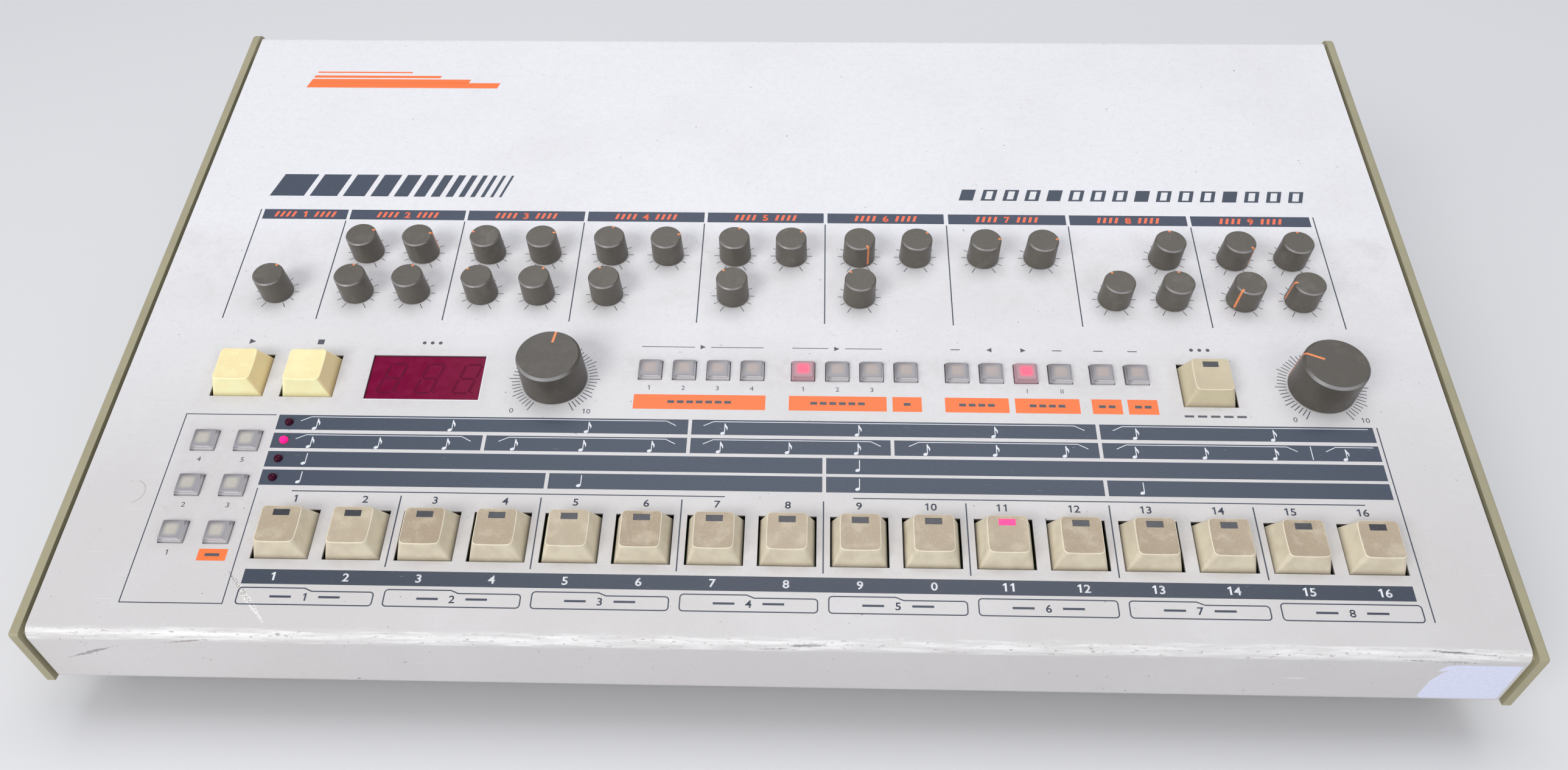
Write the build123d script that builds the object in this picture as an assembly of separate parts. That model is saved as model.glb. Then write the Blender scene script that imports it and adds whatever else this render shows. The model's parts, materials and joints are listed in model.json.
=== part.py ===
from build123d import *
import os
from math import cos, radians, sin, tan

# Desktop drum machine: a sloping steel control panel between two plastic end cheeks,
# over a black steel tray. Millimetres, +Z up, +X to the player's right, +Y to the back.
# The origin is on the table, under the middle of the case.

# ---------------------------------------------------------------- case
case_width = 486.0
case_depth = 300.0
front_height = 42.4        # table to the front corner of the panel
panel_slope = 12.0         # degrees

cover_sheet = 1.2
cover_bend = 4.0           # outside radius of the two long bends
lip_height = 24.3          # front corner down to the bottom of the front lip
lip_return = 12.0          # lip turned back under the case
lip_bend = 2.5
rear_flange = 12.0
side_flange = 12.0

cheek_thickness = 4.6
cheek_gap = 0.4
cheek_step_width = 1.1     # inner edge, cut back to leave a dark line by the panel
cheek_step_depth = 2.0
cheek_front_proud = 1.0
cheek_rear_proud = 2.0
cheek_front_radius = 1.5
cheek_rear_radius = 4.0
cheek_edge = 1.0           # rounding of the outer edge

chassis_sheet = 1.2
chassis_side_gap = 0.3     # tray wall to the cover's side flange
chassis_setback = 12.5     # front lip face to the tray's front wall
chassis_front_flange = 8.0
chassis_top_gap = 2.5      # tray side wall to the underside of the panel
rear_wall_gap = 0.3        # rear flange to the rear plates
rear_lip_height = 11.0     # tray's rear lip, from its underside
rear_joint_x = 66.0        # where the socket plate meets the power plate
rear_joint_gap = 0.2

foot_height = 7.0
foot_radius = 10.0
foot_taper = 1.5
foot_recess_radius = 3.9
foot_inset_x = 30.0
foot_inset_y = 26.0

# ---------------------------------------------------------------- screws
screw_radius = 1.5
screw_head_radius = 2.9
screw_head_height = 1.4
screw_head_edge = 0.45
screw_clearance = 0.1
screw_slot_reach = 1.8     # cross slot, from its middle
screw_slot_width = 0.6
screw_grip = 3.0           # thread past the sheets it joins
cheek_screw_grip = 2.4     # thread held in the end cheek
front_screw_pitch = 105.0
front_screw_count = 5
rear_screw_pitch = 200.0
rear_screw_count = 3
rear_screw_inset = 2.7     # up from the rear flange's free edge
lip_screw_drop = 4.0       # down from the top of the tray's rear lip
lip_screw_inset = 26.5     # outer ones to the end of the tray
lip_screw_from_joint = 20.0
cheek_screw_y = (-105.0, 5.0, 115.0)
standoff_radius = 3.0

# ---------------------------------------------------------------- control layout
# Places on the panel are (x, s): s runs up the slope from the front corner.
section_pitch = 48.0       # one instrument section, and two step keys
layout_centre = 17.4       # x of the middle of the step-key row
step_count = 16
step_row = 38.4
command_row = 105.9        # start, stop and enter keys
start_x = -195.2
stop_x = -169.8
enter_x = 154.7

knob_row_upper = 167.8
knob_row_lower = 146.8
knob_offset = 10.9         # knob axis to the middle of its section
accent_x = -192.4
tempo_x = -80.4
volume_x = 195.3
big_knob_row = 105.7

side_button_pitch_x = 15.3
side_button_pitch_s = 18.9
side_button_x = -192.95
side_button_s = 57.4
upper_button_row = 110.2
upper_button_pitch = 12.4
track_button_x = -45.9
pattern_button_x = 9.75
mode_button_x = 65.4
last_button_x = 117.6

window_x = -127.7
window_s = 105.7
window_width = 41.9
window_length = 20.6
lamp_x = -172.7
lamp_first_s = 61.0
lamp_pitch = 7.9
lamp_count = 4

# ---------------------------------------------------------------- keys
key_opening = 19.5
key_gap = 0.5
key_height = 6.6
key_top_width = 13.2
key_top_length = 14.0
key_top_corner = 1.8
key_base_corner = 0.5
key_top_shift = 0.1        # top sits this much nearer the back than the base
key_dish_depth = 0.6
key_dish_radius = 75.0
key_edge = 0.4
key_skirt = 5.5
key_base_drop = 1.8        # widest part of the cap, below the panel surface
key_wall = 1.5
key_travel = 3.5
key_stem_radius = 2.5
key_stem_end = 12.0        # stem tip below the panel surface
stem_gap = 0.06            # radial, in every switch guide
stem_floor_gap = 0.3       # stem or shaft tip to the bottom of its guide
led_pocket_width = 5.6
led_pocket_length = 2.5
led_pocket_depth = 0.5
led_pocket_inset = 1.1     # back edge of the key top to the pocket

# ---------------------------------------------------------------- small buttons
button_opening = 8.8
button_gap = 0.25
button_shoulder = 1.1
button_height = 1.9
button_step = 0.55
button_corner = 0.5
button_flange = 0.5        # lip that keeps the cap behind the panel
button_flange_thick = 1.0
button_flange_drop = 0.3
button_skirt = 5.2
button_travel = 0.8
button_stem_radius = 1.5
button_stem_end = 8.0
button_edge = 0.4

# ---------------------------------------------------------------- knobs
small_knob_radius = 6.15
small_knob_top_radius = 5.85
small_knob_height = 9.5
small_knob_chamfer = 0.45
small_pointer_reach = 1.6  # pointer groove on the top face, from the rim
big_knob_radius = 11.95
big_knob_top_radius = 11.45
big_knob_height = 13.1
big_knob_chamfer = 0.8
big_pointer_reach = 5.2
pointer_width = 0.9
pointer_depth = 0.35
knob_gap = 0.4             # panel to the underside of a knob
shaft_radius = 3.0
shaft_hole_gap = 0.6
shaft_depth_in_knob = 6.5
shaft_end = 12.5           # shaft tip below the panel surface
pot_gap = 0.05             # radial, shaft in its potentiometer
pot_width = 10.0
pot_length = 11.0
pot_height = 6.0
big_pot_width = 16.0
big_pot_length = 17.0
pot_collar_wall = 1.5
pot_collar_gap = 1.0       # underside of the panel to the collar

# ---------------------------------------------------------------- boards
board_depth = 16.0         # panel surface to the top of the panel board
board_sheet = 1.6
board_margin_x = 9.0       # panel board to the tray wall
board_front_s = 14.0
board_back_s = 196.0
key_switch_width = 14.0
key_switch_height = 6.5
key_switch_edge = 0.8
button_switch_width = 7.4
button_switch_height = 9.0
board_post_inset = 21.5    # outer posts to the tray wall
board_post_inner_x = (-83.0, 59.0)
board_post_s = (20.0, 130.0, 190.0)

main_board_width = 330.0
main_board_length = 170.0
main_board_x = -55.0
main_board_y = 25.0
main_board_lift = 8.0
main_post_inset = 8.0
chip_width = 7.0
chip_length = 20.0
chip_height = 4.0
chip_columns = 6
chip_rows = 4
chip_field_width = 266.0
chip_field_length = 122.0
capacitor_radius = 5.0
capacitor_height = 12.0
capacitor_count = 5
battery_radius = 10.0
battery_height = 5.0
transformer_x = 170.0
transformer_y = 60.0
transformer_width = 62.0
transformer_length = 50.0
transformer_height = 44.0
transformer_stack = 26.0
winding_width = 37.0
winding_height = 26.4
transformer_foot = 2.0
transformer_foot_width = 78.0

# ---------------------------------------------------------------- window and lamps
window_gap = 0.15
window_recess = 0.6
window_flange = 2.5
window_thick = 1.5
display_gap = 0.3
lamp_radius = 1.5
lamp_gap = 0.1
lamp_rise = 1.4
lamp_crown = 1.2           # rounding of the lamp's top
lamp_base_radius = 2.0
lamp_base_gap = 0.4

# ---------------------------------------------------------------- sockets on the rear wall
jack_bore = 3.2
jack_bush_radius = 4.7
jack_hole_gap = 0.1
jack_nut_radius = 6.4
jack_nut_height = 2.0
jack_bush_proud = 2.4
jack_body = 14.0
jack_body_length = 24.0
jack_bore_length = 22.0
jack_row_upper = 72.0
jack_row_lower = 40.0
jack_pitch = 22.0
jack_first_x = -195.0
jack_upper_count = 11
jack_lower_count = 4
foot_jack_x = 54.0

din_radius = 8.6
din_bore = 7.4
din_bore_length = 8.0
din_body_length = 16.0
din_flange = 22.0
din_flange_thick = 1.2
din_pitch = 26.0
din_first_x = -92.0
din_count = 5
din_pin_hole = 0.8
din_pin_hole_depth = 5.6
din_pin_angles = (0, 45, 90, 135, 180)
din_pin_circle = 4.6
din_hole_gap = 0.2

inlet_x = 185.0
inlet_z = 34.0
inlet_width = 24.0
inlet_height = 15.0
inlet_wall = 2.0
inlet_depth = 18.0
inlet_pin_radius = 1.2
inlet_pin_pitch = 8.6
inlet_pin_length = 12.0

slot_x = 110.0
slot_z = 64.0
slot_width = 62.0
slot_height = 12.0
slot_wall = 2.5
slot_depth = 34.0

switch_x = 185.0
switch_z = 66.0
switch_width = 15.0
switch_height = 24.0
switch_wall = 1.8
switch_depth = 18.0
rocker_gap = 0.4
rocker_tilt = 9.0          # either side of level
rocker_radius = 6.0
rocker_swing_gap = 1.2
rocker_pin_radius = 1.5
rocker_pin_gap = 0.06
rocker_sink = 5.0          # rocker axis behind the bezel face
bezel_lip = 2.0
bezel_thick = 1.2

# ---------------------------------------------------------------- worked out
lip_y = -case_depth / 2 + cheek_front_proud
rear_y = case_depth / 2 - cheek_rear_proud
lip_z = front_height - lip_height
cover_half = case_width / 2 - cheek_thickness - cheek_gap
rise = tan(radians(panel_slope))
slope_cos = cos(radians(panel_slope))
rear_height = front_height + (rear_y - lip_y) * rise
chassis_half = cover_half - cover_sheet - chassis_side_gap
chassis_front_y = lip_y + chassis_setback
rear_wall_y = rear_y - cover_sheet - rear_wall_gap
floor_top = foot_height + chassis_sheet
main_board_z = floor_top + main_board_lift
key_pitch = section_pitch / 2
key_size = key_opening - 2 * key_gap
rocker_axis_y = rear_wall_y + bezel_thick - rocker_sink
button_size = button_opening - 2 * button_gap
panel = Plane(
    origin=(0, lip_y, front_height),
    x_dir=(1, 0, 0),
    z_dir=(0, -sin(radians(panel_slope)), cos(radians(panel_slope))),
)


def section_x(index):
    """Middle of instrument section index; section 4 starts at the layout centre."""
    return layout_centre + section_pitch * (index - 3.5)


def step_x(index):
    """Middle of step key index, counted from 0 at the left."""
    return layout_centre + key_pitch * (index - (step_count - 1) / 2)


left = -knob_offset
right = knob_offset

# name: (x, s, pointer angle at rest, counted anticlockwise from +X on the panel)
SMALL_KNOBS = {
    "accent_knob": (accent_x, knob_row_lower, 62),
    "bass_drum_tune_knob": (section_x(0) + left, knob_row_upper, 27),
    "bass_drum_level_knob": (section_x(0) + right, knob_row_upper, 11),
    "bass_drum_attack_knob": (section_x(0) + left, knob_row_lower, 81),
    "bass_drum_decay_knob": (section_x(0) + right, knob_row_lower, 74),
    "snare_tune_knob": (section_x(1) + left, knob_row_upper, 158),
    "snare_level_knob": (section_x(1) + right, knob_row_upper, 20),
    "snare_tone_knob": (section_x(1) + left, knob_row_lower, 137),
    "snare_snap_knob": (section_x(1) + right, knob_row_lower, 53),
    "low_tom_tune_knob": (section_x(2) + left, knob_row_upper, 77),
    "low_tom_level_knob": (section_x(2) + right, knob_row_upper, 15),
    "low_tom_decay_knob": (section_x(2) + left, knob_row_lower, 112),
    "mid_tom_tune_knob": (section_x(3) + left, knob_row_upper, 69),
    "mid_tom_level_knob": (section_x(3) + right, knob_row_upper, 40),
    "mid_tom_decay_knob": (section_x(3) + left, knob_row_lower, 130),
    "high_tom_tune_knob": (section_x(4) + left, knob_row_upper, -57),
    "high_tom_level_knob": (section_x(4) + right, knob_row_upper, 39),
    "high_tom_decay_knob": (section_x(4) + left, knob_row_lower, 135),
    "rim_shot_level_knob": (section_x(5) + left, knob_row_upper, 3),
    "hand_clap_level_knob": (section_x(5) + right, knob_row_upper, 5),
    "closed_hat_decay_knob": (section_x(6) + left, knob_row_lower, 120),
    "hi_hat_level_knob": (section_x(6) + right, knob_row_upper, 89),
    "open_hat_decay_knob": (section_x(6) + right, knob_row_lower, 85),
    "crash_level_knob": (section_x(7) + left, knob_row_upper, -40),
    "crash_tune_knob": (section_x(7) + left, knob_row_lower, 227),
    "ride_level_knob": (section_x(7) + right, knob_row_upper, 86),
    "ride_tune_knob": (section_x(7) + right, knob_row_lower, 177),
}
BIG_KNOBS = {
    "tempo_knob": (tempo_x, big_knob_row, 81),
    "volume_knob": (volume_x, big_knob_row, 156),
}
STEP_KEYS = {f"step_key_{i + 1:02d}": (step_x(i), step_row) for i in range(step_count)}
COMMAND_KEYS = {
    "start_key": (start_x, command_row),
    "stop_key": (stop_x, command_row),
    "enter_key": (enter_x, command_row),
}
SIDE_BUTTONS = [
    (side_button_x + side_button_pitch_x * (i - 0.5), side_button_s + side_button_pitch_s * (j - 1))
    for j in range(3) for i in range(2)
]
UPPER_BUTTONS = [
    (first + upper_button_pitch * i, upper_button_row)
    for first, count in ((track_button_x, 4), (pattern_button_x, 4), (mode_button_x, 4),
                         (last_button_x, 2))
    for i in range(count)
]
LAMPS = [(lamp_x, lamp_first_s + lamp_pitch * i) for i in range(lamp_count)]

# sockets on the rear wall: (x, z)
JACKS = [(jack_first_x + jack_pitch * i, jack_row_upper) for i in range(jack_upper_count)]
JACKS += [(jack_first_x + jack_pitch * i, jack_row_lower) for i in range(jack_lower_count)]
JACKS += [(foot_jack_x, jack_row_lower)]
DINS = [(din_first_x + din_pitch * i, jack_row_lower) for i in range(din_count)]


def on_panel(x, s, n=0.0):
    """A place on the panel, n above its surface."""
    return panel * Pos(x, s, n)


def block(size, low_centre):
    """A box of the given size that stands on the point low_centre."""
    x, y, z = low_centre
    return Pos(x, y, z) * Box(*size, align=(Align.CENTER, Align.CENTER, Align.MIN))


def rod(radius, start, length):
    """A cylinder that stands on the point start."""
    return Pos(*start) * Cylinder(radius, length, align=(Align.CENTER, Align.CENTER, Align.MIN))


def backward_rod(radius, x, z, front_y, length):
    """A cylinder along +Y from front_y."""
    return Pos(x, front_y, z) * Rot(-90, 0, 0) * rod(radius, (0, 0, 0), length)


def wall_block(size, x, z, front_y):
    """A box of (width, depth, height) centred on (x, z), running along +Y from front_y."""
    width, depth, height = size
    return Pos(x, front_y + depth / 2, z) * Box(width, depth, height)


def side_sketch(points):
    """A closed outline in the side view, given as (y, z) points."""
    return Plane.YZ * make_face(Polyline(*points, close=True))


def across(sketch, x_from, x_to):
    """A side-view sketch extruded from x_from to x_to."""
    return Pos(x_from, 0, 0) * extrude(sketch, amount=x_to - x_from, dir=(1, 0, 0))


def save(shape, name):
    export_step(shape, f"parts/{name}.step")


# ---------------------------------------------------------------- case
def cover_path():
    corners = (
        (lip_y + lip_return, lip_z),
        (lip_y, lip_z),
        (lip_y, front_height),
        (rear_y, rear_height),
        (rear_y, rear_height - rear_flange),
    )
    return FilletPolyline(*corners, radius=[lip_bend, cover_bend, cover_bend])


def knob_places():
    return list(SMALL_KNOBS.values()) + list(BIG_KNOBS.values())


def key_places():
    return list(STEP_KEYS.values()) + list(COMMAND_KEYS.values())


def panel_cuts():
    """Tools for every opening in the control panel."""
    tall = 6 * cover_sheet
    shaft_hole = shaft_radius + shaft_hole_gap
    cuts = [on_panel(x, s) * Box(key_opening, key_opening, tall) for x, s in key_places()]
    cuts += [on_panel(x, s) * Box(button_opening, button_opening, tall)
             for x, s in SIDE_BUTTONS + UPPER_BUTTONS]
    cuts += [on_panel(x, s) * Cylinder(shaft_hole, tall) for x, s, _ in knob_places()]
    cuts += [on_panel(x, s) * Cylinder(lamp_radius + lamp_gap, tall) for x, s in LAMPS]
    cuts.append(on_panel(window_x, window_s) * Box(window_width, window_length, tall))
    return cuts


def front_screw_places():
    middle = (front_screw_count - 1) / 2
    y = chassis_front_y - chassis_front_flange / 2
    return [(front_screw_pitch * (i - middle), y) for i in range(front_screw_count)]


def rear_screw_places():
    middle = (rear_screw_count - 1) / 2
    z = rear_height - rear_flange + rear_screw_inset
    return [(rear_screw_pitch * (i - middle), z) for i in range(rear_screw_count)]


def lip_screw_places():
    outer = chassis_half - lip_screw_inset
    z = foot_height + rear_lip_height - lip_screw_drop
    return [(-outer, z), (rear_joint_x - lip_screw_from_joint, z),
            (rear_joint_x + lip_screw_from_joint, z), (outer, z)]


def panel_z(y):
    """Height of the panel surface at depth y."""
    return front_height + (y - lip_y) * rise


def cheek_screw_z(y):
    return panel_z(y) - side_flange / 2


def screw_cuts(radius):
    """Tools for the screw holes through the sheet metal."""
    reach = 4 * cover_sheet
    cuts = [rod(radius, (x, y, lip_z - reach), 2 * reach) for x, y in front_screw_places()]
    rear_places = rear_screw_places() + lip_screw_places()
    cuts += [backward_rod(radius, x, z, rear_y - reach, 2 * reach) for x, z in rear_places]
    span = cover_half + cover_sheet
    cuts += [Pos(0, y, cheek_screw_z(y)) * Rot(0, 90, 0) * Cylinder(radius, 2 * span)
             for y in cheek_screw_y]
    return cuts


def make_top_cover():
    path = cover_path()
    section = make_face(offset(path, amount=cover_sheet, side=Side.RIGHT, closed=True))
    cover = across(Plane.YZ * section, -cover_half, cover_half)
    outline = make_face(Wire([*path.edges(), Line(path @ 1, path @ 0)]))
    flange = outline - Pos(side_flange, -side_flange) * outline
    cover += across(Plane.YZ * flange, -cover_half, cover_sheet - cover_half)
    cover += across(Plane.YZ * flange, cover_half - cover_sheet, cover_half)
    return cover - panel_cuts() - screw_cuts(screw_radius + screw_clearance)


def make_tray():
    """Floor, front wall and flange, side walls, and the low rear lip that carries the rear plates."""
    corners = (
        (chassis_front_y - chassis_front_flange, lip_z),
        (chassis_front_y + chassis_sheet, lip_z),
        (chassis_front_y + chassis_sheet, floor_top),
        (rear_wall_y - 2 * chassis_sheet, floor_top),
        (rear_wall_y - 2 * chassis_sheet, foot_height + rear_lip_height),
    )
    path = FilletPolyline(*corners, radius=[2 * chassis_sheet, chassis_sheet, chassis_sheet])
    section = make_face(offset(path, amount=chassis_sheet, side=Side.RIGHT, closed=True))
    tray = across(Plane.YZ * section, -chassis_half, chassis_half)
    under = (cover_sheet + chassis_top_gap) / slope_cos
    side_back = rear_wall_y - chassis_sheet
    side = side_sketch((
        (chassis_front_y + chassis_sheet, foot_height),
        (chassis_front_y + chassis_sheet, panel_z(chassis_front_y) - under),
        (side_back, panel_z(side_back) - under),
        (side_back, foot_height),
    ))
    tray += across(side, -chassis_half, chassis_sheet - chassis_half)
    tray += across(side, chassis_half - chassis_sheet, chassis_half)
    return tray


def rear_plate(x_from, x_to):
    """One of the two upright plates that close the tray's back."""
    top = rear_height - cover_bend - chassis_sheet
    size = (x_to - x_from, chassis_sheet, top - foot_height)
    return wall_block(size, (x_from + x_to) / 2, (top + foot_height) / 2, rear_wall_y - chassis_sheet)


def make_bottom_chassis():
    pieces = (
        make_tray(),
        rear_plate(-chassis_half, rear_joint_x - rear_joint_gap),
        rear_plate(rear_joint_x, chassis_half),
    )
    cuts = rear_wall_cuts() + screw_cuts(screw_radius + screw_clearance) + foot_screw_holes()
    return Compound([piece - cuts for piece in pieces])


def foot_places():
    x = case_width / 2 - foot_inset_x
    y = case_depth / 2 - foot_inset_y
    return [(i * x, j * y) for j in (-1, 1) for i in (-1, 1)]


def foot_screw_holes():
    radius = screw_radius + screw_clearance
    return [rod(radius, (x, y, 0), 2 * floor_top) for x, y in foot_places()]


def make_rubber_feet():
    recess = foot_height / 2
    foot = loft([
        Circle(foot_radius - foot_taper),
        Pos(0, 0, foot_height) * Circle(foot_radius),
    ])
    foot -= rod(foot_recess_radius, (0, 0, 0), recess)
    foot -= rod(screw_radius + screw_clearance, (0, 0, 0), foot_height)
    return Compound([Pos(x, y, 0) * foot for x, y in foot_places()])


def make_cheek(side):
    """One end cheek: side is -1 for the left and 1 for the right."""
    front_y = -case_depth / 2
    back_y = case_depth / 2
    outline = make_face(Polyline(
        (front_y, lip_z), (front_y, panel_z(front_y)), (back_y, panel_z(back_y)), (back_y, lip_z),
        close=True,
    ))
    by_height = outline.vertices().sort_by(Axis.Y)
    outline = fillet(by_height[-1], cheek_rear_radius)
    outline = fillet(outline.vertices().sort_by_distance((front_y, panel_z(front_y)))[0],
                     cheek_front_radius)
    inner_x = cover_half + cheek_gap
    cheek = across(Plane.YZ * outline, inner_x, case_width / 2)
    cheek = fillet(cheek.faces().sort_by(Axis.X)[-1].edges(), cheek_edge)
    rim = outline - offset(outline, amount=-cheek_step_depth)
    cheek -= across(Plane.YZ * rim, inner_x, inner_x + cheek_step_width)
    hole = screw_radius + screw_clearance
    for y in cheek_screw_y:
        place = Pos(inner_x, y, cheek_screw_z(y)) * Rot(0, 90, 0)
        cheek -= place * Cylinder(hole, 2 * cheek_screw_grip + screw_clearance)
    return cheek if side > 0 else mirror(cheek, about=Plane.YZ)


def make_end_cheeks():
    return Compound([make_cheek(-1), make_cheek(1)])


# ---------------------------------------------------------------- screws and posts
def screw(length):
    """A pan-head screw: the head sits on z = 0 and the thread runs down."""
    head = rod(screw_head_radius, (0, 0, 0), screw_head_height)
    head = chamfer(head.edges().sort_by(Axis.Z)[-1], screw_head_edge)
    slot = Box(2 * screw_slot_reach, screw_slot_width, screw_head_height)
    head -= Pos(0, 0, screw_head_height) * (slot + Rot(0, 0, 90) * slot)
    return head + rod(screw_radius, (0, 0, -length), length)


def jack_nut(x, z):
    """The hexagon nut that holds a jack socket to the rear wall."""
    nut = Plane.XZ.offset(-rear_wall_y) * Pos(x, z) * RegularPolygon(jack_nut_radius, 6)
    nut = extrude(nut, amount=-jack_nut_height)
    return nut - backward_rod(jack_bush_radius + stem_gap, x, z, rear_wall_y, jack_bush_proud)


def make_fasteners():
    pieces = [jack_nut(x, z) for x, z in JACKS]
    sheet_pair = chassis_sheet + cover_sheet
    for x, y in front_screw_places():
        pieces.append(Pos(x, y, lip_z - chassis_sheet) * Rot(180, 0, 0) * screw(sheet_pair + screw_grip))
    for x, z in rear_screw_places():
        reach = cover_sheet + rear_wall_gap + chassis_sheet + screw_grip
        pieces.append(Pos(x, rear_y, z) * Rot(-90, 0, 0) * screw(reach))
    for x, z in lip_screw_places():
        pieces.append(Pos(x, rear_wall_y, z) * Rot(-90, 0, 0) * screw(2 * chassis_sheet + screw_grip))
    reach = chassis_sheet + chassis_side_gap + cover_sheet + cheek_gap + cheek_screw_grip
    inside = chassis_half - chassis_sheet
    for y in cheek_screw_y:
        pieces.append(Pos(inside, y, cheek_screw_z(y)) * Rot(0, -90, 0) * screw(reach))
        pieces.append(Pos(-inside, y, cheek_screw_z(y)) * Rot(0, 90, 0) * screw(reach))
    for x, y in foot_places():
        foot_reach = foot_height / 2 + chassis_sheet + screw_grip
        pieces.append(Pos(x, y, foot_height / 2) * Rot(180, 0, 0) * screw(foot_reach))
    post = board_depth - cover_sheet
    for x, s in board_posts():
        pieces.append(on_panel(x, s, -board_depth) * rod(standoff_radius, (0, 0, 0), post))
        under = on_panel(x, s, -board_depth - board_sheet)
        pieces.append(under * Rot(180, 0, 0) * rod(screw_head_radius, (0, 0, 0), screw_head_height))
    for x, y in main_posts():
        pieces.append(rod(standoff_radius, (x, y, floor_top), main_board_lift))
        pieces.append(rod(screw_head_radius, (x, y, main_board_z + board_sheet), screw_head_height))
    return Compound(pieces)


def board_posts():
    outer = chassis_half - board_post_inset
    return [(x, s) for x in (-outer, *board_post_inner_x, outer) for s in board_post_s]


def main_posts():
    half_x = main_board_width / 2 - main_post_inset
    half_y = main_board_length / 2 - main_post_inset
    return [(main_board_x + i * half_x, main_board_y + j * half_y) for j in (-1, 1) for i in (-1, 0, 1)]


# ---------------------------------------------------------------- electronics
def spread(count, length):
    """Evenly spaced centres of count places along length, about zero."""
    return [length * ((i + 0.5) / count - 0.5) for i in range(count)]


def make_main_board():
    board = block((main_board_width, main_board_length, board_sheet),
                  (main_board_x, main_board_y, main_board_z))
    top = main_board_z + board_sheet
    pieces = [board]
    for x in spread(chip_columns, chip_field_width):
        for y in spread(chip_rows, chip_field_length):
            place = (main_board_x + x, main_board_y + y, top)
            pieces.append(block((chip_length, chip_width, chip_height), place))
    right_edge = main_board_x + main_board_width / 2 - 2 * main_post_inset
    for y in spread(capacitor_count, chip_field_length):
        pieces.append(rod(capacitor_radius, (right_edge, main_board_y + y, top), capacitor_height))
    battery_x = main_board_x - main_board_width / 2 + 2 * main_post_inset
    pieces.append(rod(battery_radius, (battery_x, main_board_y, top), battery_height))
    return pieces


def make_transformer():
    core = block((transformer_width, transformer_stack, transformer_height),
                 (transformer_x, transformer_y, floor_top))
    winding = block((winding_width, transformer_length, winding_height),
                    (transformer_x, transformer_y,
                     floor_top + (transformer_height - winding_height) / 2))
    foot = block((transformer_foot_width, transformer_stack, transformer_foot),
                 (transformer_x, transformer_y, floor_top))
    return core + winding + foot


def make_supply():
    return Compound(make_main_board() + [make_transformer()])


def key_switch():
    """Switch body for one key, standing on the panel board, with the guide for its stem."""
    body = block((key_switch_width, key_switch_width, key_switch_height), (0, 0, 0))
    body = chamfer(body.edges().group_by(Axis.Z)[-1], key_switch_edge)
    floor = board_depth - key_stem_end - key_travel
    return body - rod(key_stem_radius + stem_gap, (0, 0, floor - stem_floor_gap), key_switch_height)


def button_switch():
    body = block((button_switch_width, button_switch_width, button_switch_height), (0, 0, 0))
    floor = board_depth - button_stem_end - button_travel
    return body - rod(button_stem_radius + stem_gap, (0, 0, floor - stem_floor_gap), button_switch_height)


def potentiometer(width, length):
    """Body and collar of one potentiometer, with the bore that carries its shaft."""
    collar_top = board_depth - cover_sheet - pot_collar_gap
    body = block((width, length, pot_height), (0, 0, 0))
    body += rod(shaft_radius + pot_collar_wall, (0, 0, 0), collar_top)
    floor = board_depth - shaft_end
    return body - rod(shaft_radius + pot_gap, (0, 0, floor - stem_floor_gap), board_depth)


def make_panel_board():
    board_half = chassis_half - chassis_sheet - board_margin_x
    middle = (board_front_s + board_back_s) / 2
    length = board_back_s - board_front_s
    low = -board_depth - board_sheet
    pieces = [on_panel(0, middle, low) * block((2 * board_half, length, board_sheet), (0, 0, 0))]
    pieces += [on_panel(x, s, -board_depth) * key_switch() for x, s in key_places()]
    pieces += [on_panel(x, s, -board_depth) * button_switch() for x, s in SIDE_BUTTONS + UPPER_BUTTONS]
    pieces += [on_panel(x, s, -board_depth) * potentiometer(pot_width, pot_length)
               for x, s, _ in SMALL_KNOBS.values()]
    pieces += [on_panel(x, s, -board_depth) * potentiometer(big_pot_width, big_pot_length)
               for x, s, _ in BIG_KNOBS.values()]
    lens_back = cover_sheet + window_thick + display_gap
    display = block((window_width, window_length, board_depth - lens_back), (0, 0, 0))
    pieces.append(on_panel(window_x, window_s, -board_depth) * display)
    return Compound(pieces)


# ---------------------------------------------------------------- window and lamps
def make_indicator_lenses():
    clear = 2 * window_gap
    lens = block((window_width - clear, window_length - clear, cover_sheet - window_recess),
                 (0, 0, -cover_sheet))
    back = block((window_width + 2 * window_flange, window_length + 2 * window_flange, window_thick),
                 (0, 0, -cover_sheet - window_thick))
    pieces = [on_panel(window_x, window_s) * (lens + back)]
    for x, s in LAMPS:
        barrel = rod(lamp_radius, (0, 0, -board_depth), board_depth + lamp_rise)
        barrel = fillet(barrel.edges().sort_by(Axis.Z)[-1], lamp_crown)
        base = rod(lamp_base_radius, (0, 0, -board_depth), board_depth - cover_sheet - lamp_base_gap)
        pieces.append(on_panel(x, s) * (barrel + base))
    return Compound(pieces)


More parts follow.
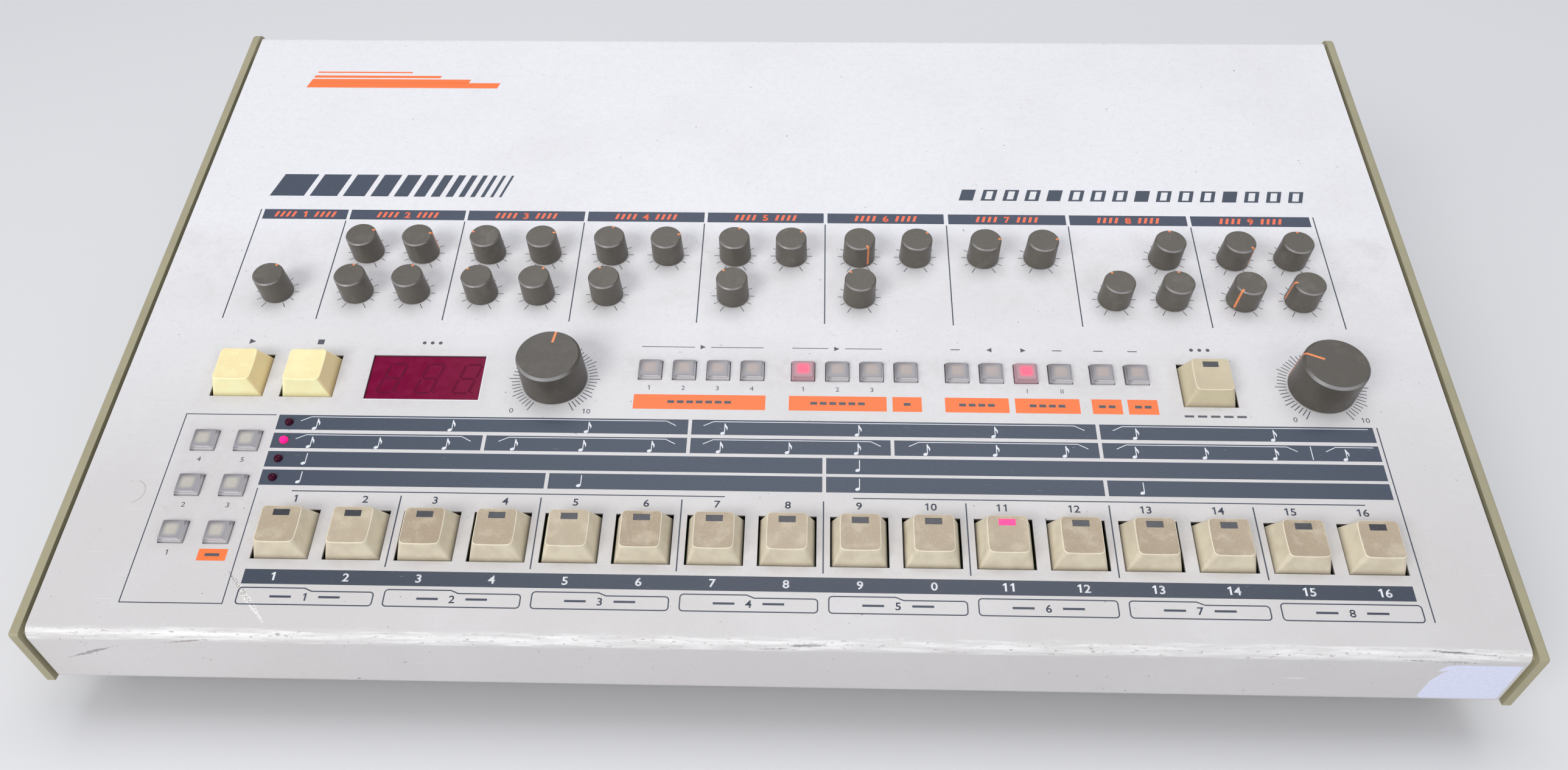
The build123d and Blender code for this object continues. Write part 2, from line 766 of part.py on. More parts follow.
# ---------------------------------------------------------------- keys, buttons and knobs
def keycap():
    """One key, with the panel surface at z = 0 and the middle of its opening at the origin."""
    base = RectangleRounded(key_size, key_size, key_base_corner)
    top = RectangleRounded(key_top_width, key_top_length, key_top_corner)
    cap = loft([Pos(0, 0, -key_base_drop) * base, Pos(0, key_top_shift, key_height) * top])
    dish_centre = key_height - key_dish_depth + key_dish_radius
    cap -= Pos(0, key_top_shift, dish_centre) * Sphere(key_dish_radius)
    rim = [e for e in cap.edges() if e.center().Z > key_height - 2 * key_dish_depth]
    cap = fillet(rim, key_edge)
    cap += extrude(Pos(0, 0, -key_base_drop) * base, amount=key_base_drop - key_skirt)
    room = key_size - 2 * key_wall
    lid = 2 * key_wall
    top_room = Rectangle(key_top_width - lid, key_top_length - lid)
    waist = Pos(0, 0, -key_base_drop) * Rectangle(room, room)
    hollow = loft([Pos(0, 0, -key_skirt) * Rectangle(room, room), waist])
    hollow += loft([waist, Pos(0, 0, key_height - lid) * top_room])
    cap -= hollow
    return cap + rod(key_stem_radius, (0, 0, -key_stem_end), key_stem_end + key_height - key_wall)


def led_pocket():
    """The shallow seat of the lamp window at the back of a key top."""
    s = key_top_shift + key_top_length / 2 - led_pocket_inset - led_pocket_length / 2
    low = key_height - key_dish_depth - led_pocket_depth
    return block((led_pocket_width, led_pocket_length, key_height), (0, s, low))


def small_button():
    """One small button, with its keeper lip behind the panel."""
    shoulder = extrude(RectangleRounded(button_size, button_size, button_corner), amount=button_shoulder)
    crown_size = button_size - 2 * button_step
    crown = extrude(RectangleRounded(crown_size, crown_size, button_corner), amount=button_height)
    crown = fillet(crown.edges().group_by(Axis.Z)[-1], button_edge)
    cap = shoulder + crown
    cap += block((button_size, button_size, button_skirt), (0, 0, -button_skirt))
    lip_size = button_opening + 2 * button_flange
    lip_low = -cover_sheet - button_flange_drop - button_flange_thick
    cap += block((lip_size, lip_size, button_flange_thick), (0, 0, lip_low))
    return cap + rod(button_stem_radius, (0, 0, -button_stem_end), button_stem_end)


def button_group(places):
    return Compound([on_panel(x, s) * small_button() for x, s in places])


def knob(angle, radius, top_radius, height, edge, reach):
    """A knob cap and its shaft, with its pointer groove turned to angle."""
    cap = Pos(0, 0, knob_gap) * loft([Circle(radius), Pos(0, 0, height - knob_gap) * Circle(top_radius)])
    cap = chamfer(cap.edges().sort_by(Axis.Z)[-1], edge)
    cap -= rod(shaft_radius + stem_gap / 2, (0, 0, 0), knob_gap + shaft_depth_in_knob)
    groove_top = Pos(radius - reach / 2, 0, height) * Box(reach, pointer_width, 2 * pointer_depth)
    cap -= Rot(0, 0, angle) * (groove_top + side_groove(radius, top_radius, height))
    shaft_length = shaft_end + knob_gap + shaft_depth_in_knob
    return Compound([cap, rod(shaft_radius, (0, 0, -shaft_end), shaft_length - stem_gap)])


def side_groove(radius, top_radius, height):
    """The pointer groove's stretch down the knob's tapered side."""
    width = pointer_width / 2
    foot = [(radius - pointer_depth, -width), (radius + 1, -width),
            (radius + 1, width), (radius - pointer_depth, width)]
    head = [(x - radius + top_radius, y) for x, y in foot]
    return loft([make_face(Polyline(*foot, close=True)),
                 Pos(0, 0, height) * make_face(Polyline(*head, close=True))])


# ---------------------------------------------------------------- rear wall
def rear_wall_cuts():
    """Tools for the socket openings in the rear plates."""
    front = rear_wall_y - 2 * chassis_sheet
    reach = 4 * chassis_sheet
    cuts = [backward_rod(jack_bush_radius + jack_hole_gap, x, z, front, reach) for x, z in JACKS]
    cuts += [backward_rod(din_radius + din_hole_gap, x, z, front, reach) for x, z in DINS]
    for x, z, width, height in (
        (inlet_x, inlet_z, inlet_width + 2 * inlet_wall, inlet_height + 2 * inlet_wall),
        (slot_x, slot_z, slot_width + 2 * slot_wall, slot_height + 2 * slot_wall),
        (switch_x, switch_z, switch_width + 2 * switch_wall, switch_height + 2 * switch_wall),
    ):
        grown = 2 * din_hole_gap
        cuts.append(wall_block((width + grown, reach, height + grown), x, z, front))
    return cuts


def make_jack(x, z):
    """A quarter-inch jack socket with its threaded bush through the wall."""
    inside = rear_wall_y - chassis_sheet
    mouth = rear_wall_y + jack_bush_proud
    body = wall_block((jack_body, jack_body_length, jack_body), x, z, inside - jack_body_length)
    body += backward_rod(jack_bush_radius, x, z, inside - jack_body_length / 2,
                         mouth - inside + jack_body_length / 2)
    bore_front = mouth - jack_bore_length
    return body - backward_rod(jack_bore, x, z, bore_front, jack_bore_length)


def make_din(x, z):
    """A five-pin round socket."""
    inside = rear_wall_y - chassis_sheet
    mouth = rear_wall_y + din_flange_thick
    body = backward_rod(din_radius, x, z, inside - din_body_length, mouth - inside + din_body_length)
    body += wall_block((din_flange, din_flange_thick, din_flange), x, z, rear_wall_y)
    floor_y = mouth - din_bore_length
    body -= backward_rod(din_bore, x, z, floor_y, din_bore_length)
    for angle in din_pin_angles:
        pin_x = x + din_pin_circle * cos(radians(angle))
        pin_z = z + din_pin_circle * sin(radians(angle))
        body -= backward_rod(din_pin_hole, pin_x, pin_z, floor_y - din_pin_hole_depth, din_bore_length)
    return body


def open_box(width, height, depth, wall, x, z, mouth_y):
    """A shell with inside size width by height, open at the back and closed at the front."""
    outer = wall_block((width + 2 * wall, depth + wall, height + 2 * wall), x, z, mouth_y - depth - wall)
    return outer - wall_block((width, depth, height), x, z, mouth_y - depth)


def bezel(width, height, wall, x, z):
    """A flat rim against the outside of the rear wall."""
    rim = wall_block((width + 2 * (wall + bezel_lip), bezel_thick, height + 2 * (wall + bezel_lip)),
                     x, z, rear_wall_y)
    return rim - wall_block((width, bezel_thick, height), x, z, rear_wall_y)


def make_inlet():
    mouth = rear_wall_y + bezel_thick
    shell = open_box(inlet_width, inlet_height, inlet_depth, inlet_wall, inlet_x, inlet_z, mouth)
    shell += bezel(inlet_width, inlet_height, inlet_wall, inlet_x, inlet_z)
    pins = [backward_rod(inlet_pin_radius, inlet_x + side * inlet_pin_pitch / 2, inlet_z,
                         mouth - inlet_depth, inlet_pin_length) for side in (-1, 1)]
    return [shell, *pins]


def make_slot():
    mouth = rear_wall_y + bezel_thick
    shell = open_box(slot_width, slot_height, slot_depth, slot_wall, slot_x, slot_z, mouth)
    return shell + bezel(slot_width, slot_height, slot_wall, slot_x, slot_z)


def make_switch_housing():
    mouth = rear_wall_y + bezel_thick
    shell = open_box(switch_width, switch_height, switch_depth, switch_wall, switch_x, switch_z, mouth)
    shell += bezel(switch_width, switch_height, switch_wall, switch_x, switch_z)
    hole = Cylinder(rocker_pin_radius + rocker_pin_gap, switch_width + switch_wall)
    return shell - Pos(switch_x, rocker_axis_y, switch_z) * Rot(0, 90, 0) * hole


def make_power_switch():
    """The rocker, held at its on stop, with its pivot pins in the housing's walls."""
    half = switch_height / 2 - rocker_swing_gap
    face = rocker_sink - bezel_thick
    end = face + half * tan(radians(rocker_tilt))
    outline = make_face(Polyline(
        (face, 0), (end, half), (0, half), (-rocker_radius, half / 2),
        (-rocker_radius, -half / 2), (0, -half), (end, -half), close=True,
    ))
    width = switch_width - 2 * rocker_gap
    rocker = Pos(-width / 2, 0, 0) * extrude(Plane.YZ * outline, amount=width)
    pin_length = switch_width + switch_wall - 2 * rocker_gap
    rocker += Rot(0, 90, 0) * Cylinder(rocker_pin_radius, pin_length)
    return Pos(switch_x, rocker_axis_y, switch_z) * Rot(rocker_tilt, 0, 0) * rocker


def make_rear_sockets():
    pieces = [make_jack(x, z) for x, z in JACKS]
    pieces += [make_din(x, z) for x, z in DINS]
    pieces += make_inlet()
    pieces += [make_slot(), make_switch_housing()]
    return Compound(pieces)


def main():
    os.makedirs("parts", exist_ok=True)
    save(make_top_cover(), "top_cover")
    save(make_bottom_chassis(), "bottom_chassis")
    save(make_end_cheeks(), "end_cheeks")
    save(make_rubber_feet(), "rubber_feet")
    save(make_fasteners(), "fasteners")
    save(make_supply(), "main_board_and_supply")
    save(make_panel_board(), "panel_board")
    save(make_indicator_lenses(), "indicator_lenses")
    save(make_rear_sockets(), "rear_sockets")
    save(make_power_switch(), "power_switch")
    cap = keycap()
    for name, (x, s) in STEP_KEYS.items():
        save(on_panel(x, s) * (cap - led_pocket()), name)
    for name, (x, s) in COMMAND_KEYS.items():
        has_lamp = name == "enter_key"
        save(on_panel(x, s) * (cap - led_pocket() if has_lamp else cap), name)
    save(button_group(SIDE_BUTTONS), "side_buttons")
    save(button_group(UPPER_BUTTONS), "upper_buttons")
    for name, (x, s, angle) in SMALL_KNOBS.items():
        turned = knob(angle, small_knob_radius, small_knob_top_radius, small_knob_height,
                      small_knob_chamfer, small_pointer_reach)
        save(on_panel(x, s) * turned, name)
    for name, (x, s, angle) in BIG_KNOBS.items():
        turned = knob(angle, big_knob_radius, big_knob_top_radius, big_knob_height,
                      big_knob_chamfer, big_pointer_reach)
        save(on_panel(x, s) * turned, name)


main()
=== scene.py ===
"""Looks of the drum machine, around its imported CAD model."""

import json
import math

import bmesh
import bpy
from mathutils import Matrix, Vector


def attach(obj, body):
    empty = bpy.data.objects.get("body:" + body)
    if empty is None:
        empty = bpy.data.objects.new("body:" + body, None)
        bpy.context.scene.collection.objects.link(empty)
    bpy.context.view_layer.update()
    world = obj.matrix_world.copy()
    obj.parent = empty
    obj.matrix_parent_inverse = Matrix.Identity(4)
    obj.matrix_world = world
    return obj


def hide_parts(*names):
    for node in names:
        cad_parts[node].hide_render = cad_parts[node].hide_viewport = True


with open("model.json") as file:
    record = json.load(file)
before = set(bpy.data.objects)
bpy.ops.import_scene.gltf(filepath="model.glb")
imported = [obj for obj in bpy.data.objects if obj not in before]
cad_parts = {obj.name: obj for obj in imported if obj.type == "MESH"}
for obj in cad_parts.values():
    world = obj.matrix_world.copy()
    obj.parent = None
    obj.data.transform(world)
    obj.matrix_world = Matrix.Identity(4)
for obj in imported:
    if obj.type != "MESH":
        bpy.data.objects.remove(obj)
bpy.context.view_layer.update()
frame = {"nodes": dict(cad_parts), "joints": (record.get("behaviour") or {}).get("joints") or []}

MM = 0.001
SLOPE = math.radians(12)
FRONT_Y, FRONT_Z = -0.149, 0.0424  # front corner of the panel
PANEL = Matrix.Translation((0, FRONT_Y, FRONT_Z)) @ Matrix.Rotation(SLOPE, 4, "X")
FRONT = Matrix.Translation((0, FRONT_Y, 0)) @ Matrix.Rotation(math.radians(90), 4, "X")

# places on the panel in mm: x to the right, s up the slope
STEP_PITCH = 24.0
FIRST_STEP = -162.6
STEPS = [FIRST_STEP + STEP_PITCH * i for i in range(16)]
STEP_ROW = 38.4
COMMAND_ROW = 105.9
COMMAND_KEYS = {"start_key": -195.2, "stop_key": -169.8, "enter_key": 154.7}
SECTION = 48.0  # two steps wide
FIRST_SECTION = -174.6
SECTION_LINES = [-210.3] + [FIRST_SECTION + SECTION * i for i in range(8)] + [210.3]
NUMBER_ROW = 52.6
UPPER_ROW = 110.2
UPPER_BUTTONS = [first + 12.4 * i for first, count in
                 ((-45.9, 4), (9.75, 4), (65.4, 4), (117.6, 2)) for i in range(count)]
SIDE_MIDDLE = (-192.95, 57.4)
SIDE_BUTTONS = [(SIDE_MIDDLE[0] + 15.3 * (i - 0.5), SIDE_MIDDLE[1] + 18.9 * (j - 1))
                for j in range(3) for i in range(2)]
LIT_UPPER = (4, 10)  # places in UPPER_BUTTONS of the two lit buttons
LIT_STEP = 11
WINDOW = (-127.7, 105.7)
LAMP_ROWS = [61.0 + 7.9 * i for i in range(4)]
LIT_LAMP = 2
LARGE_KNOBS = ("tempo_knob", "volume_knob")
LEAST_ANGLE, KNOB_TURN = 240, 300  # a pointer at its least, and its turn to its most, in degrees


# ---- materials
def rgb(red, green, blue):
    """An sRGB colour, 0 to 255, as the linear colour that Blender takes."""
    def linear(value):
        value /= 255
        return value / 12.92 if value <= 0.04045 else ((value + 0.055) / 1.055) ** 2.4
    return linear(red), linear(green), linear(blue), 1.0


class Shade:
    """One procedural material: a Principled shader and the nodes that feed it."""

    def __init__(self, name, colour, rough, **more):
        self.material = bpy.data.materials.new(name)
        self.material.use_nodes = True
        self.tree = self.material.node_tree
        self.shader = self.tree.nodes["Principled BSDF"]
        self.tone = colour
        self.surface("Base Color", colour)
        self.surface("Roughness", rough)
        for key, value in more.items():
            self.surface(key.replace("_", " "), value)

    def surface(self, socket, value):
        self.put(self.shader.inputs[socket], value)

    def put(self, socket, value):
        if isinstance(value, bpy.types.NodeSocket):
            self.tree.links.new(value, socket)
        else:
            socket.default_value = value

    def fill(self, sockets, **values):
        for key, value in values.items():
            self.put(sockets[key], value)

    def node(self, kind, *values, **settings):
        made = self.tree.nodes.new(kind)
        for key, value in settings.items():
            setattr(made, key, value)
        for socket, value in zip(made.inputs, values):
            if value is not None:
                self.put(socket, value)
        return made

    def place(self, matrix=None):
        """Object coordinates in mm; with a matrix, in that frame."""
        where = self.node("ShaderNodeTexCoord").outputs["Object"]
        if matrix is None:
            return self.vector("SCALE", where, 1000.0)
        moved = matrix.inverted()
        shift = Vector(moved.translation) * 1000
        return self.node("ShaderNodeMapping", where, shift, moved.to_euler(),
                         (1000.0, 1000.0, 1000.0)).outputs[0]

    def split(self, vector):
        return self.node("ShaderNodeSeparateXYZ", vector).outputs

    def join(self, x, y, z=0.0):
        return self.node("ShaderNodeCombineXYZ", x, y, z).outputs[0]

    def vector(self, operation, first, second):
        made = self.node("ShaderNodeVectorMath", first, operation=operation)
        self.put(made.inputs["Scale" if operation == "SCALE" else 1], second)
        return made.outputs["Value" if operation == "DOT_PRODUCT" else "Vector"]

    def length(self, vector):
        return self.node("ShaderNodeVectorMath", vector, operation="LENGTH").outputs["Value"]

    def math(self, operation, first, second=0.0, clamp=False):
        return self.node("ShaderNodeMath", first, second, operation=operation,
                         use_clamp=clamp).outputs[0]

    def times(self, first, second, clamp=False):
        return self.math("MULTIPLY", first, second, clamp)

    def step(self, value, low, high, end=1.0, start=0.0):
        """Goes smoothly from start to end as value goes from low to high."""
        return self.node("ShaderNodeMapRange", value, low, high, start, end,
                         interpolation_type="SMOOTHSTEP").outputs[0]

    def noise(self, where, scale, detail, rough):
        made = self.node("ShaderNodeTexNoise")
        self.fill(made.inputs, Vector=where, Scale=scale, Detail=detail, Roughness=rough)
        return made.outputs["Fac"]

    def facing(self, x, y, z):
        """How squarely the surface faces the direction (x, y, z) of the panel's frame."""
        normal = self.node("ShaderNodeNewGeometry").outputs["Normal"]
        return self.vector("DOT_PRODUCT", normal, PANEL.to_3x3() @ Vector((x, y, z)))

    def stretched(self, where, turn, stretch):
        """Coordinates turned in their plane, then stretched, for grain and scratches."""
        return self.node("ShaderNodeMapping", where, None, (0.0, 0.0, math.radians(turn)),
                         stretch).outputs[0]

    def mix(self, share, first, second):
        """A colour that goes from first to second as share goes from 0 to 1."""
        made = self.node("ShaderNodeMix", data_type="RGBA")
        inputs = {socket.identifier: socket for socket in made.inputs}
        self.fill(inputs, Factor_Float=share, A_Color=first, B_Color=second)
        return next(socket for socket in made.outputs if socket.identifier == "Result_Color")

    def tint(self, share, colour):
        """Lays colour over the tone so far, fully where share is 1."""
        self.tone = self.mix(share, self.tone, colour)
        self.surface("Base Color", self.tone)

    def bump(self, height, distance, strength):
        made = self.node("ShaderNodeBump")
        self.fill(made.inputs, Strength=strength, Distance=distance, Height=height)
        self.surface("Normal", made.outputs[0])

    def off(self, value, centre):
        """How far value lies from centre."""
        return self.math("ABSOLUTE", self.math("SUBTRACT", value, centre))

    def box_edge(self, x, s, centre, half):
        """Distance outside a rectangle, in mm; negative inside it."""
        across = self.math("SUBTRACT", self.off(x, centre[0]), half[0])
        along = self.math("SUBTRACT", self.off(s, centre[1]), half[1])
        return self.math("MAXIMUM", across, along)

    def streak(self, flat, start, end, width, ragged):
        """A mask of a ragged stroke from start to end."""
        run = Vector((end[0] - start[0], end[1] - start[1], 0))
        reach = self.vector("SUBTRACT", flat, Vector((*start, 0)))
        share = self.times(self.vector("DOT_PRODUCT", reach, run), 1 / run.length_squared, True)
        along = self.vector("SCALE", run, share)
        away = self.length(self.vector("SUBTRACT", reach, along))
        taper = self.times(self.math("PINGPONG", share, 0.5), 2.0)
        wide = self.times(self.math("POWER", taper, 0.5), width)
        left = self.math("DIVIDE", self.math("SUBTRACT", wide, away), width)
        torn = self.times(self.math("SUBTRACT", ragged, 0.5), 1.6)
        return self.step(self.math("ADD", left, torn), 0.35, 0.6)


def fresh_paint(shade, where, s, blotch):
    """The paint: whitest at the back, duller towards the player's hands."""
    shade.tint(shade.step(blotch, 0.4, 0.75, 0.6), rgb(224, 223, 225))
    worn_low = shade.times(shade.step(s, 205.0, 25.0, 0.95), shade.step(blotch, 0.3, 0.6, 1.0, start=0.85))
    shade.tint(worn_low, rgb(207, 204, 203))
    mottle = shade.noise(where, 0.3, 5.0, 0.7)
    shade.tint(shade.step(mottle, 0.4, 0.75, 0.14), rgb(198, 194, 192))


def hand_grime(shade, where, x, s):
    """Grime round the openings, and smudges among the knobs."""
    off_step = shade.math("PINGPONG", shade.math("SUBTRACT", x, FIRST_STEP), STEP_PITCH / 2)
    round_key = shade.math("SUBTRACT", shade.math("MAXIMUM", off_step, shade.off(s, STEP_ROW)), 9.75)
    in_row = shade.times(shade.step(x, -186.0, -176.0), shade.step(x, 217.0, 210.0))
    grime = shade.times(shade.step(round_key, 5.5, 0.0), in_row)
    start_and_stop = (COMMAND_KEYS["start_key"] + COMMAND_KEYS["stop_key"]) / 2
    for centre, half in (  # the groups of keys and buttons, and the window
            ((start_and_stop, COMMAND_ROW), (23.0, 10.0)), ((38.0, UPPER_ROW), (91.0, 4.6)),
            ((COMMAND_KEYS["enter_key"], COMMAND_ROW), (10.0, 10.0)), ((124.0, UPPER_ROW), (11.0, 4.6)),
            (SIDE_MIDDLE, (12.0, 23.5)), (WINDOW, (21.0, 10.5))):
        near = shade.step(shade.box_edge(x, s, centre, half), 6.0, 0.0, 0.7)
        grime = shade.math("MAXIMUM", grime, near)
    cover = shade.step(shade.noise(where, 0.22, 4.0, 0.65), 0.35, 0.7, 0.6, start=0.15)
    shade.tint(shade.times(grime, cover), rgb(198, 193, 192))
    knob_zone = shade.times(shade.step(s, 128.0, 146.0), shade.step(s, 186.0, 172.0))
    cover = shade.step(shade.noise(where, 0.06, 5.0, 0.6), 0.45, 0.75, 0.5, start=0.14)
    shade.tint(shade.times(knob_zone, cover), rgb(205, 201, 198))


def fine_wear(shade, where, flat, fine):
    """Grain, fine scratches in three directions, and specks of dirt."""
    shade.tint(shade.step(fine, 0.5, 0.75, 0.3), rgb(196, 192, 194))
    for turn, seed, tone in ((24, 0.0, rgb(203, 201, 202)), (-38, 40.0, rgb(246, 246, 250)),
                             (81, 90.0, rgb(208, 205, 205))):
        shifted = shade.vector("ADD", flat, Vector((seed, seed, 0)))
        lines = shade.noise(shade.stretched(shifted, turn, (0.035, 2.2, 1.0)), 1.0, 2.0, 0.6)
        shade.tint(shade.step(lines, 0.7, 0.78, 0.55), tone)
    specks = shade.noise(where, 0.55, 2.0, 0.5)
    shade.tint(shade.step(specks, 0.735, 0.77, 0.7), rgb(120, 112, 106))


def ring_mark(shade, flat, x):
    """Part of a ring left near the panel's left edge."""
    middle = Vector((-220.0, 54.5, 0))
    arc_edge = shade.off(shade.length(shade.vector("SUBTRACT", flat, middle)), 4.6)
    ring = shade.times(shade.step(arc_edge, 0.3, 0.1), shade.step(x, -219.5, -218.0))
    shade.tint(shade.times(ring, 0.6), rgb(166, 160, 158))


def front_scuffs(shade, fine):
    """Scuffs on the front face, in mm to the right of its middle and up from the bend, and painted shade
    that darkens the face below the bend, more towards the right.
    """
    front = shade.vector("SUBTRACT", shade.place(), Vector((0, FRONT_Y * 1000, FRONT_Z * 1000)))
    across, _, up = shade.split(front)
    face = shade.join(across, up)
    for start, end, width, tone in (
            ((-232.8, -13.8), (-207.4, -4.9), 1.15, rgb(158, 155, 158)),
            ((-196.5, -4.2), (-174.0, -1.2), 0.6, rgb(158, 146, 146)),
            ((-157.4, -0.4), (-155.0, -0.2), 0.8, rgb(60, 56, 56)),
            ((-137.2, -22.0), (-135.0, -21.2), 0.7, rgb(140, 137, 140)),
            ((5.0, -1.2), (22.0, -0.4), 0.9, rgb(92, 88, 92)),
            ((-6.0, -2.4), (9.0, -1.8), 0.5, rgb(120, 112, 114)),
            ((196.0, -2.2), (226.0, -3.3), 0.9, rgb(140, 134, 140)),
            ((203.0, 0.4), (232.0, -0.8), 0.4, rgb(110, 104, 108))):
        shade.tint(shade.streak(face, start, end, width, fine), tone)
    # painted shade: the front face darker below the bend, more towards the right
    painted_lip_shade = shade.times(shade.step(up, -1.5, -3.5), shade.step(across, -210.0, -90.0, 0.22))
    shade.tint(painted_lip_shade, rgb(186, 184, 186))


def panel_paint():
    """White paint on the bent steel cover, as old and knocked as it is."""
    shade = Shade("panel_paint", rgb(235, 235, 239), 0.42, Specular_IOR_Level=0.45)
    where = shade.place(PANEL)
    x, s, n = shade.split(where)
    flat = shade.join(x, s)
    fine = shade.noise(where, 0.9, 4.0, 0.6)
    blotch = shade.noise(where, 0.016, 5.0, 0.55)
    fresh_paint(shade, where, s, blotch)
    hand_grime(shade, where, x, s)
    fine_wear(shade, where, flat, fine)

    # the long graze by the first key, with dark pits at its upper end
    graze = shade.streak(flat, (-178.5, 24.5), (-159.5, 2.5), 1.7, shade.noise(where, 1.6, 3.0, 0.7))
    shade.tint(graze, rgb(236, 234, 231))
    pitted = shade.noise(where, 2.6, 3.0, 0.7)
    pits = shade.streak(flat, (-179.5, 25.5), (-164.0, 8.0), 1.2, pitted)
    shade.tint(shade.times(pits, shade.step(pitted, 0.5, 0.56)), rgb(112, 106, 104))
    ring_mark(shade, flat, x)
    front_scuffs(shade, fine)

    # the front bend: a light band, partly rubbed paint and partly a painted highlight, and chips
    rub_and_highlight_streaks = shade.noise(shade.stretched(where, 0, (0.06, 0.9, 0.9)), 1.0, 4.0, 0.6)
    uneven = shade.times(shade.math("SUBTRACT", rub_and_highlight_streaks, 0.5), 4.0)
    bend = shade.step(shade.math("ADD", shade.length(shade.join(0.0, s, n)), uneven), 3.5, 1.1)
    rubbed = shade.times(bend, shade.step(rub_and_highlight_streaks, 0.3, 0.65, 0.2, start=0.75))
    shade.tint(rubbed, rgb(248, 248, 248))
    chipped = shade.noise(shade.stretched(flat, 0, (0.35, 1.6, 1.0)), 1.0, 4.0, 0.65)
    chip = shade.times(bend, shade.step(chipped, 0.6, 0.65))
    shade.tint(shade.times(chip, 0.75), rgb(150, 142, 138))

    # painted shade: the cut edges of the openings lie in shadow, so they are painted dark
    on_panel = shade.times(shade.step(s, 4.0, 6.0), shade.step(s, 290.0, 285.0))
    opening_shade = shade.times(on_panel, shade.step(n, -0.1, -0.45, 0.9))
    shade.tint(opening_shade, rgb(52, 48, 46))
    shade.surface("Roughness", shade.step(blotch, 0.3, 0.75, 0.5, start=0.34))
    dents = shade.times(shade.math("ADD", chip, graze), -1.2)
    shade.bump(shade.math("ADD", shade.times(fine, 0.35), dents), 0.00006, 0.5)
    return shade.material


def ink(name, colour, worn):
    """Printed ink, rubbed thin here and there."""
    shade = Shade(name, colour, 0.38, Specular_IOR_Level=0.4)
    where = shade.place()
    fine = shade.noise(where, 0.8, 4.0, 0.6)
    rubbed = shade.noise(shade.stretched(where, 31, (0.2, 1.6, 1.0)), 1.0, 3.0, 0.6)
    shade.tint(shade.step(fine, 0.35, 0.7, 0.35), worn)
    shade.tint(shade.step(rubbed, 0.69, 0.76, 0.5), rgb(170, 170, 176))
    shade.bump(fine, 0.00003, 0.4)
    return shade.material


def key_plastic(name, colour, worn, wear, rim_wear_and_highlight=rgb(240, 231, 208), side=0.0):
    """Old key plastic, rubbed by fingers on its top; side is how strongly its right side is darkened and
    browned as painted shade.
    """
    shade = Shade(name, colour, 0.42, Specular_IOR_Level=0.4)
    where = shade.place(PANEL)
    n = shade.split(where)[2]
    facing = shade.facing(0, 0, 1)
    speckle = shade.noise(where, 3.2, 4.0, 0.75)
    cloud = shade.noise(where, 0.16, 3.0, 0.55)
    on_top = shade.times(shade.step(facing, 0.96, 0.995), shade.step(n, 5.2, 5.7))
    shade.tint(shade.step(cloud, 0.35, 0.7, 0.3), worn)
    # partly grime, partly painted shade: darker towards the foot of the key, down in its opening
    shade.tint(shade.step(n, 1.6, -0.8, 0.3), worn)
    # painted shade: the right side darker and browner, as it faces away from the light
    shade.tint(shade.step(shade.facing(1, 0, 0), 0.3, 0.7, side), rgb(232, 192, 138))
    own = shade.node("ShaderNodeObjectInfo").outputs["Random"]
    share = shade.times(shade.step(own, 0.0, 1.0, 1.0, start=0.72), wear)
    rubbed = shade.mix(shade.step(speckle, 0.36, 0.64, 0.52 * wear), worn, rgb(140, 116, 98))
    mottle = shade.math("ADD", cloud, shade.times(speckle, 0.3))
    patch = shade.times(on_top, shade.step(mottle, 0.42, 0.68, 1.0, start=0.72))
    shade.tint(shade.times(patch, share), rubbed)
    # the rounded top edge: lighter, partly worn pale and partly a painted highlight
    bevel = shade.times(shade.step(facing, 0.6, 0.78), shade.step(facing, 0.99, 0.93))
    shade.tint(shade.times(bevel, shade.step(n, 4.9, 5.5, 0.85)), rim_wear_and_highlight)
    dirt = shade.noise(where, 0.9, 4.0, 0.7)
    shade.tint(shade.step(dirt, 0.68, 0.76, 0.4), rgb(112, 100, 84))
    shade.bump(speckle, 0.00004, 0.45)
    return shade.material


def knob_plastic(name, dark, rim_highlight):
    """Dusty grey plastic; dark is how much darker it is, and the last value how light the painted highlight
    on its front rim is.
    """
    shade = Shade(name, rgb(84, 79, 72), 0.36, Specular_IOR_Level=0.5)
    where = shade.place(PANEL)
    fine = shade.noise(where, 3.0, 5.0, 0.7)
    cloud = shade.noise(where, 0.15, 4.0, 0.6)
    shade.tint(shade.step(fine, 0.3, 0.7), rgb(101, 96, 88))
    shade.tint(shade.step(cloud, 0.5, 0.78, 0.5), rgb(124, 119, 112))
    dust = shade.noise(shade.stretched(where, 18, (0.5, 3.0, 1.0)), 1.0, 3.0, 0.6)
    shade.tint(shade.step(dust, 0.71, 0.76, 0.5), rgb(168, 164, 158))
    up = shade.facing(0, 0, 1)
    # painted highlight: a light band on the front of the rim's chamfer
    rim = shade.times(shade.step(up, 0.38, 0.6), shade.step(up, 0.92, 0.76))
    rim = shade.times(rim, shade.step(shade.facing(-0.25, -0.97, 0), 0.2, 0.6, rim_highlight))
    shade.tint(dark, rgb(40, 38, 36))
    shade.tint(rim, rgb(176, 176, 178))
    shade.surface("Roughness", shade.step(cloud, 0.35, 0.7, 0.5, start=0.3))
    shade.bump(fine, 0.00003, 0.5)
    return shade.material


def plain(name, colour, other, scale, rough, bump=0.00004, **more):
    """A surface of two tones, mixed by a fine noise that also dents it."""
    shade = Shade(name, colour, rough, **more)
    grain = shade.noise(shade.place(), scale, 5.0, 0.65)
    shade.tint(shade.step(grain, 0.35, 0.65), other)
    shade.bump(grain, bump, 0.5)
    return shade.material


